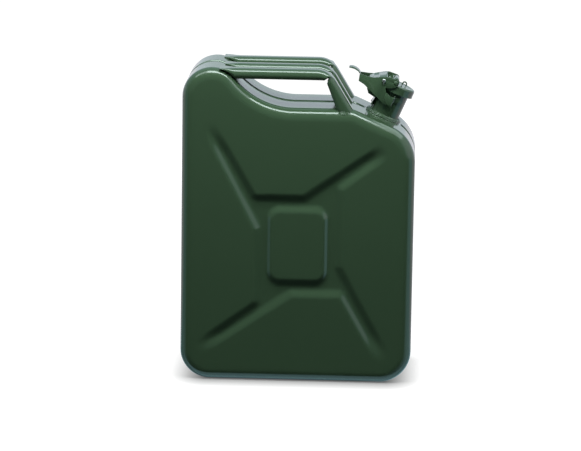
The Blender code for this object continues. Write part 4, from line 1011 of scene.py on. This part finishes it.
def build_floor(scene):
    """White floor that keeps the can's shadow and adds a painted shadow round its foot, with dark
    parts and a painted bright band for the reflections.
    """
    shape = bmesh.new()
    bmesh.ops.create_grid(shape, x_segments=1, y_segments=1, size=30)
    floor = meshed("floor", shape)
    material = bpy.data.materials.new("pale_floor")
    material.use_nodes = True
    tree = material.node_tree
    shader = tree.nodes["Principled BSDF"]
    shader.inputs["Base Color"].default_value = (*scene.jerrycan_finish.floor, 1)
    shader.inputs["Roughness"].default_value = 0.9
    shader.inputs["Specular IOR Level"].default_value = 0.0
    place = add_node(tree, "TexCoord", {})["Object"]
    spot = add_node(tree, "SeparateXYZ", {0: place})

    # The camera sees the lit floor and a glow that fades out towards the can's foot, a painted
    # shadow on top of the real one.
    folded = add_math(tree, "ABSOLUTE", place, kind="VectorMath")
    beyond = add_math(tree, "SUBTRACT", folded, PAINTED_SHADOW_BOX, kind="VectorMath")
    outside = add_math(tree, "MAXIMUM", beyond, kind="VectorMath")
    away = add_math(tree, "LENGTH", outside, kind="VectorMath")
    spread = add_ramp(tree, away, (0.0, PAINTED_SHADOW_REACH), (0.0, 1.0), "LINEAR")
    glow_with_painted_shadow = add_node(tree, "Emission", {"Strength": spread})
    seen = add_node(tree, "AddShader", {0: shader.outputs[0], 1: glow_with_painted_shadow[0]})

    # The light that the floor throws back is darker in front of the can.
    card = add_ramp(tree, spot["Y"], (-0.11, -0.06), (0.05, 0.45), "LINEAR")
    bounced = add_node(tree, "BsdfDiffuse", {"Color": card})

    # Reflections show a painted reflection: a bright band, bluish in front, that the floor gives
    # off for reflections only, along the can's foot. They also show the floor behind and beside it.
    deep = add_math(tree, "ABSOLUTE", spot["Y"])
    painted_reflection_band = add_math(tree, "MULTIPLY", add_ramp(tree, deep, (0.069, 0.077), (0.08, 1.1)),
                    add_ramp(tree, deep, (0.085, 0.091), (1.0, 0.03)))
    behind = add_ramp(tree, spot["Y"], (1.2, 2.4), (0.0, 0.9))
    wide = add_math(tree, "ABSOLUTE", spot["X"])
    flank = add_math(tree, "MULTIPLY", add_ramp(tree, wide, (0.19, 0.27), (0.0, 0.7)),
                     add_ramp(tree, spot["Y"], (-0.05, 0.1), (0.0, 1.0)))
    far = add_math(tree, "MAXIMUM", flank, behind)
    middle = add_math(tree, "MAXIMUM", painted_reflection_band, far)
    heading = add_math(tree, "NORMALIZE", place, kind="VectorMath")
    aside = add_node(tree, "SeparateXYZ", {0: heading})["X"]
    ends = add_math(tree, "ADD", add_ramp(tree, aside, (-0.96, -0.84), (0.45, 0.0)),
                    add_ramp(tree, aside, (0.78, 0.95), (0.0, 0.75)))
    strength = add_math(tree, "MAXIMUM", middle, ends)
    past_can = add_ramp(tree, spot["Y"], (0.0, 0.2), (0.0, 1.0))
    tint = add_mix(tree, past_can, (0.50, 0.88, 1.0), (0.92, 0.93, 1.0))
    mirrored = add_node(tree, "Emission", {"Color": tint, "Strength": strength})

    split_rays(tree, bounced, mirrored, seen, "Material Output")
    floor.data.materials.append(material)


def build_world(scene):
    """White surroundings that light softly and look darker to the front in reflections."""
    world = bpy.data.worlds.new("studio")
    scene.world = world
    world.use_nodes = True
    tree = world.node_tree
    dim = tree.nodes["Background"]
    dim.inputs["Color"].default_value = (0.92, 1.0, 0.98, 1)
    dim.inputs["Strength"].default_value = 0.22
    white = add_node(tree, "Background", {"Color": (1, 1, 1, 1), "Strength": 1.0})
    heading = add_node(tree, "TexCoord", {})["Generated"]
    way = add_node(tree, "SeparateXYZ", {0: heading})
    back = add_math(tree, "MULTIPLY", add_ramp(tree, way["Y"], (-0.45, 0.45), (0.08, 0.82)),
                    add_ramp(tree, way["Z"], (0.17, 0.27), (1.0, 0.6)))
    right = add_ramp(tree, way["X"], (0.45, 0.9), (0.0, 0.9))
    amount = add_math(tree, "MAXIMUM", back, right)
    tint = add_mix(tree, amount, (0.42, 0.78, 1.0), (0.90, 0.95, 1.0))
    mirrored = add_node(tree, "Background", {"Color": tint, "Strength": amount})
    split_rays(tree, dim.outputs, mirrored, white, "World Output")


# Place, aim, size in metres and power of each lamp. The lamps in LIGHTS light the can and
# aren't mirrored in it; those in MIRRORED only show as highlights on the paint.
WHITE, COOL = (1.0, 1.0, 1.0), (0.86, 1.0, 0.98)
CAN_MIDDLE = (0, 0, 0.25)
LIGHTS = {
    "key": ((0, -0.50, 1.30), CAN_MIDDLE, (1.2, 0.4), 17),
    "left_fill": ((-2.4, -0.9, 0.9), CAN_MIDDLE, (0.9, 1.2), 5),
    "right_fill": ((2.4, -0.7, 1.0), CAN_MIDDLE, (0.9, 1.2), 5),
    "back_fill": ((0, 2.3, 1.1), CAN_MIDDLE, (1.2, 1.0), 18),
}
MIRRORED = {
    "softbox": ((0.105, -0.19, 1.29), (0.105, -0.19, 0), (0.91, 0.30), 9.5),
    "softbox_left": ((-0.70, -0.19, 1.29), (-0.70, -0.19, 0), (0.70, 0.30), 2.4),
    "panel_right": ((0.93, 0.10, 1.29), (0.93, 0.10, 0), (0.72, 1.3), 6.5),
}


def add_lamp(name, place, aim, size, power, mirrored):
    """Adds an area lamp that either lights or is mirrored."""
    light = bpy.data.lights.new(name, "AREA")
    light.shape = "RECTANGLE"
    light.size, light.size_y = size
    light.energy = power
    light.color = COOL if mirrored else WHITE
    lamp = linked(name, light)
    lamp.location = place
    direction = Vector(aim) - Vector(place)
    lamp.rotation_euler = direction.to_track_quat("-Z", "Y").to_euler()
    lamp.visible_glossy = mirrored
    lamp.visible_diffuse = not mirrored


AZIMUTH, ELEVATION, ROLL = math.radians(2.13), math.radians(11.41), math.radians(0.87)
AIM = Vector((-0.0125, 0, 0.2217))
DISTANCE = 4.495
FOCAL_PIXELS, IMAGE_WIDTH, SENSOR_WIDTH = 2982.0, 581, 36


def build_camera(scene):
    """Camera that looks at the can as the photograph does."""
    back = Vector((math.sin(AZIMUTH) * math.cos(ELEVATION),
                   -math.cos(AZIMUTH) * math.cos(ELEVATION), math.sin(ELEVATION)))
    right = Vector((math.cos(AZIMUTH), math.sin(AZIMUTH), 0))
    up = back.cross(right)
    across = math.cos(ROLL) * right + math.sin(ROLL) * up
    upright = -math.sin(ROLL) * right + math.cos(ROLL) * up
    data = bpy.data.cameras.new("camera")
    data.sensor_fit = "HORIZONTAL"
    data.sensor_width = SENSOR_WIDTH
    data.lens = FOCAL_PIXELS * SENSOR_WIDTH / IMAGE_WIDTH
    data.clip_end = 100
    camera = linked("camera", data)
    turn = Matrix((across, upright, back)).transposed()
    camera.matrix_world = Matrix.Translation(AIM + back * DISTANCE) @ turn.to_4x4()
    scene.camera = camera


class JERRYCAN_OT_stage(bpy.types.Operator):
    """Sets the pale floor, the soft light and the camera"""

    bl_idname = "jerrycan.stage"
    bl_label = "Floor, light and camera"

    def execute(self, context):
        scene = context.scene
        scene.view_settings.view_transform = "Standard"
        build_floor(scene)
        build_world(scene)
        for lamps, mirrored in ((LIGHTS, False), (MIRRORED, True)):
            for name, lamp in lamps.items():
                add_lamp(name, *lamp, mirrored)
        build_camera(scene)
        return {"FINISHED"}


GROUPS = {
    "jerrycan_body": JerrycanBodySizes,
    "jerrycan_handles": JerrycanHandleSizes,
    "jerrycan_finish": JerrycanFinish,
}
STEPS = (
    JERRYCAN_OT_halves,
    JERRYCAN_OT_seam,
    JERRYCAN_OT_handles,
    JERRYCAN_OT_neck,
    JERRYCAN_OT_lid,
    JERRYCAN_OT_closure,
    JERRYCAN_OT_hinge,
    JERRYCAN_OT_carried_over,
    JERRYCAN_OT_stage,
)


class JERRYCAN_PT_panel(bpy.types.Panel):
    """Steps that dress the jerrycan"""

    bl_idname = "JERRYCAN_PT_panel"
    bl_label = "Jerrycan"
    bl_space_type = "VIEW_3D"
    bl_region_type = "UI"
    bl_category = "Jerrycan"

    def draw(self, context):
        for step in STEPS:
            self.layout.operator(step.bl_idname)
        for name, group in GROUPS.items():
            box = self.layout.box()
            for size in group.__annotations__:
                box.prop(getattr(context.scene, name), size)


CLASSES = (*GROUPS.values(), *STEPS, JERRYCAN_PT_panel)


def register():
    for item in CLASSES:
        bpy.utils.register_class(item)
    for name, group in GROUPS.items():
        setattr(bpy.types.Scene, name, PointerProperty(type=group))


def unregister():
    for name in GROUPS:
        delattr(bpy.types.Scene, name)
    for item in reversed(CLASSES):
        bpy.utils.unregister_class(item)


def main():
    register()
    bpy.ops.jerrycan.halves()
    bpy.ops.jerrycan.seam()
    bpy.ops.jerrycan.handles()
    bpy.ops.jerrycan.neck()
    bpy.ops.jerrycan.lid()
    bpy.ops.jerrycan.closure()
    bpy.ops.jerrycan.hinge()
    bpy.ops.jerrycan.carried_over()
    bpy.ops.jerrycan.stage()


if __name__ == "__main__":
    main()
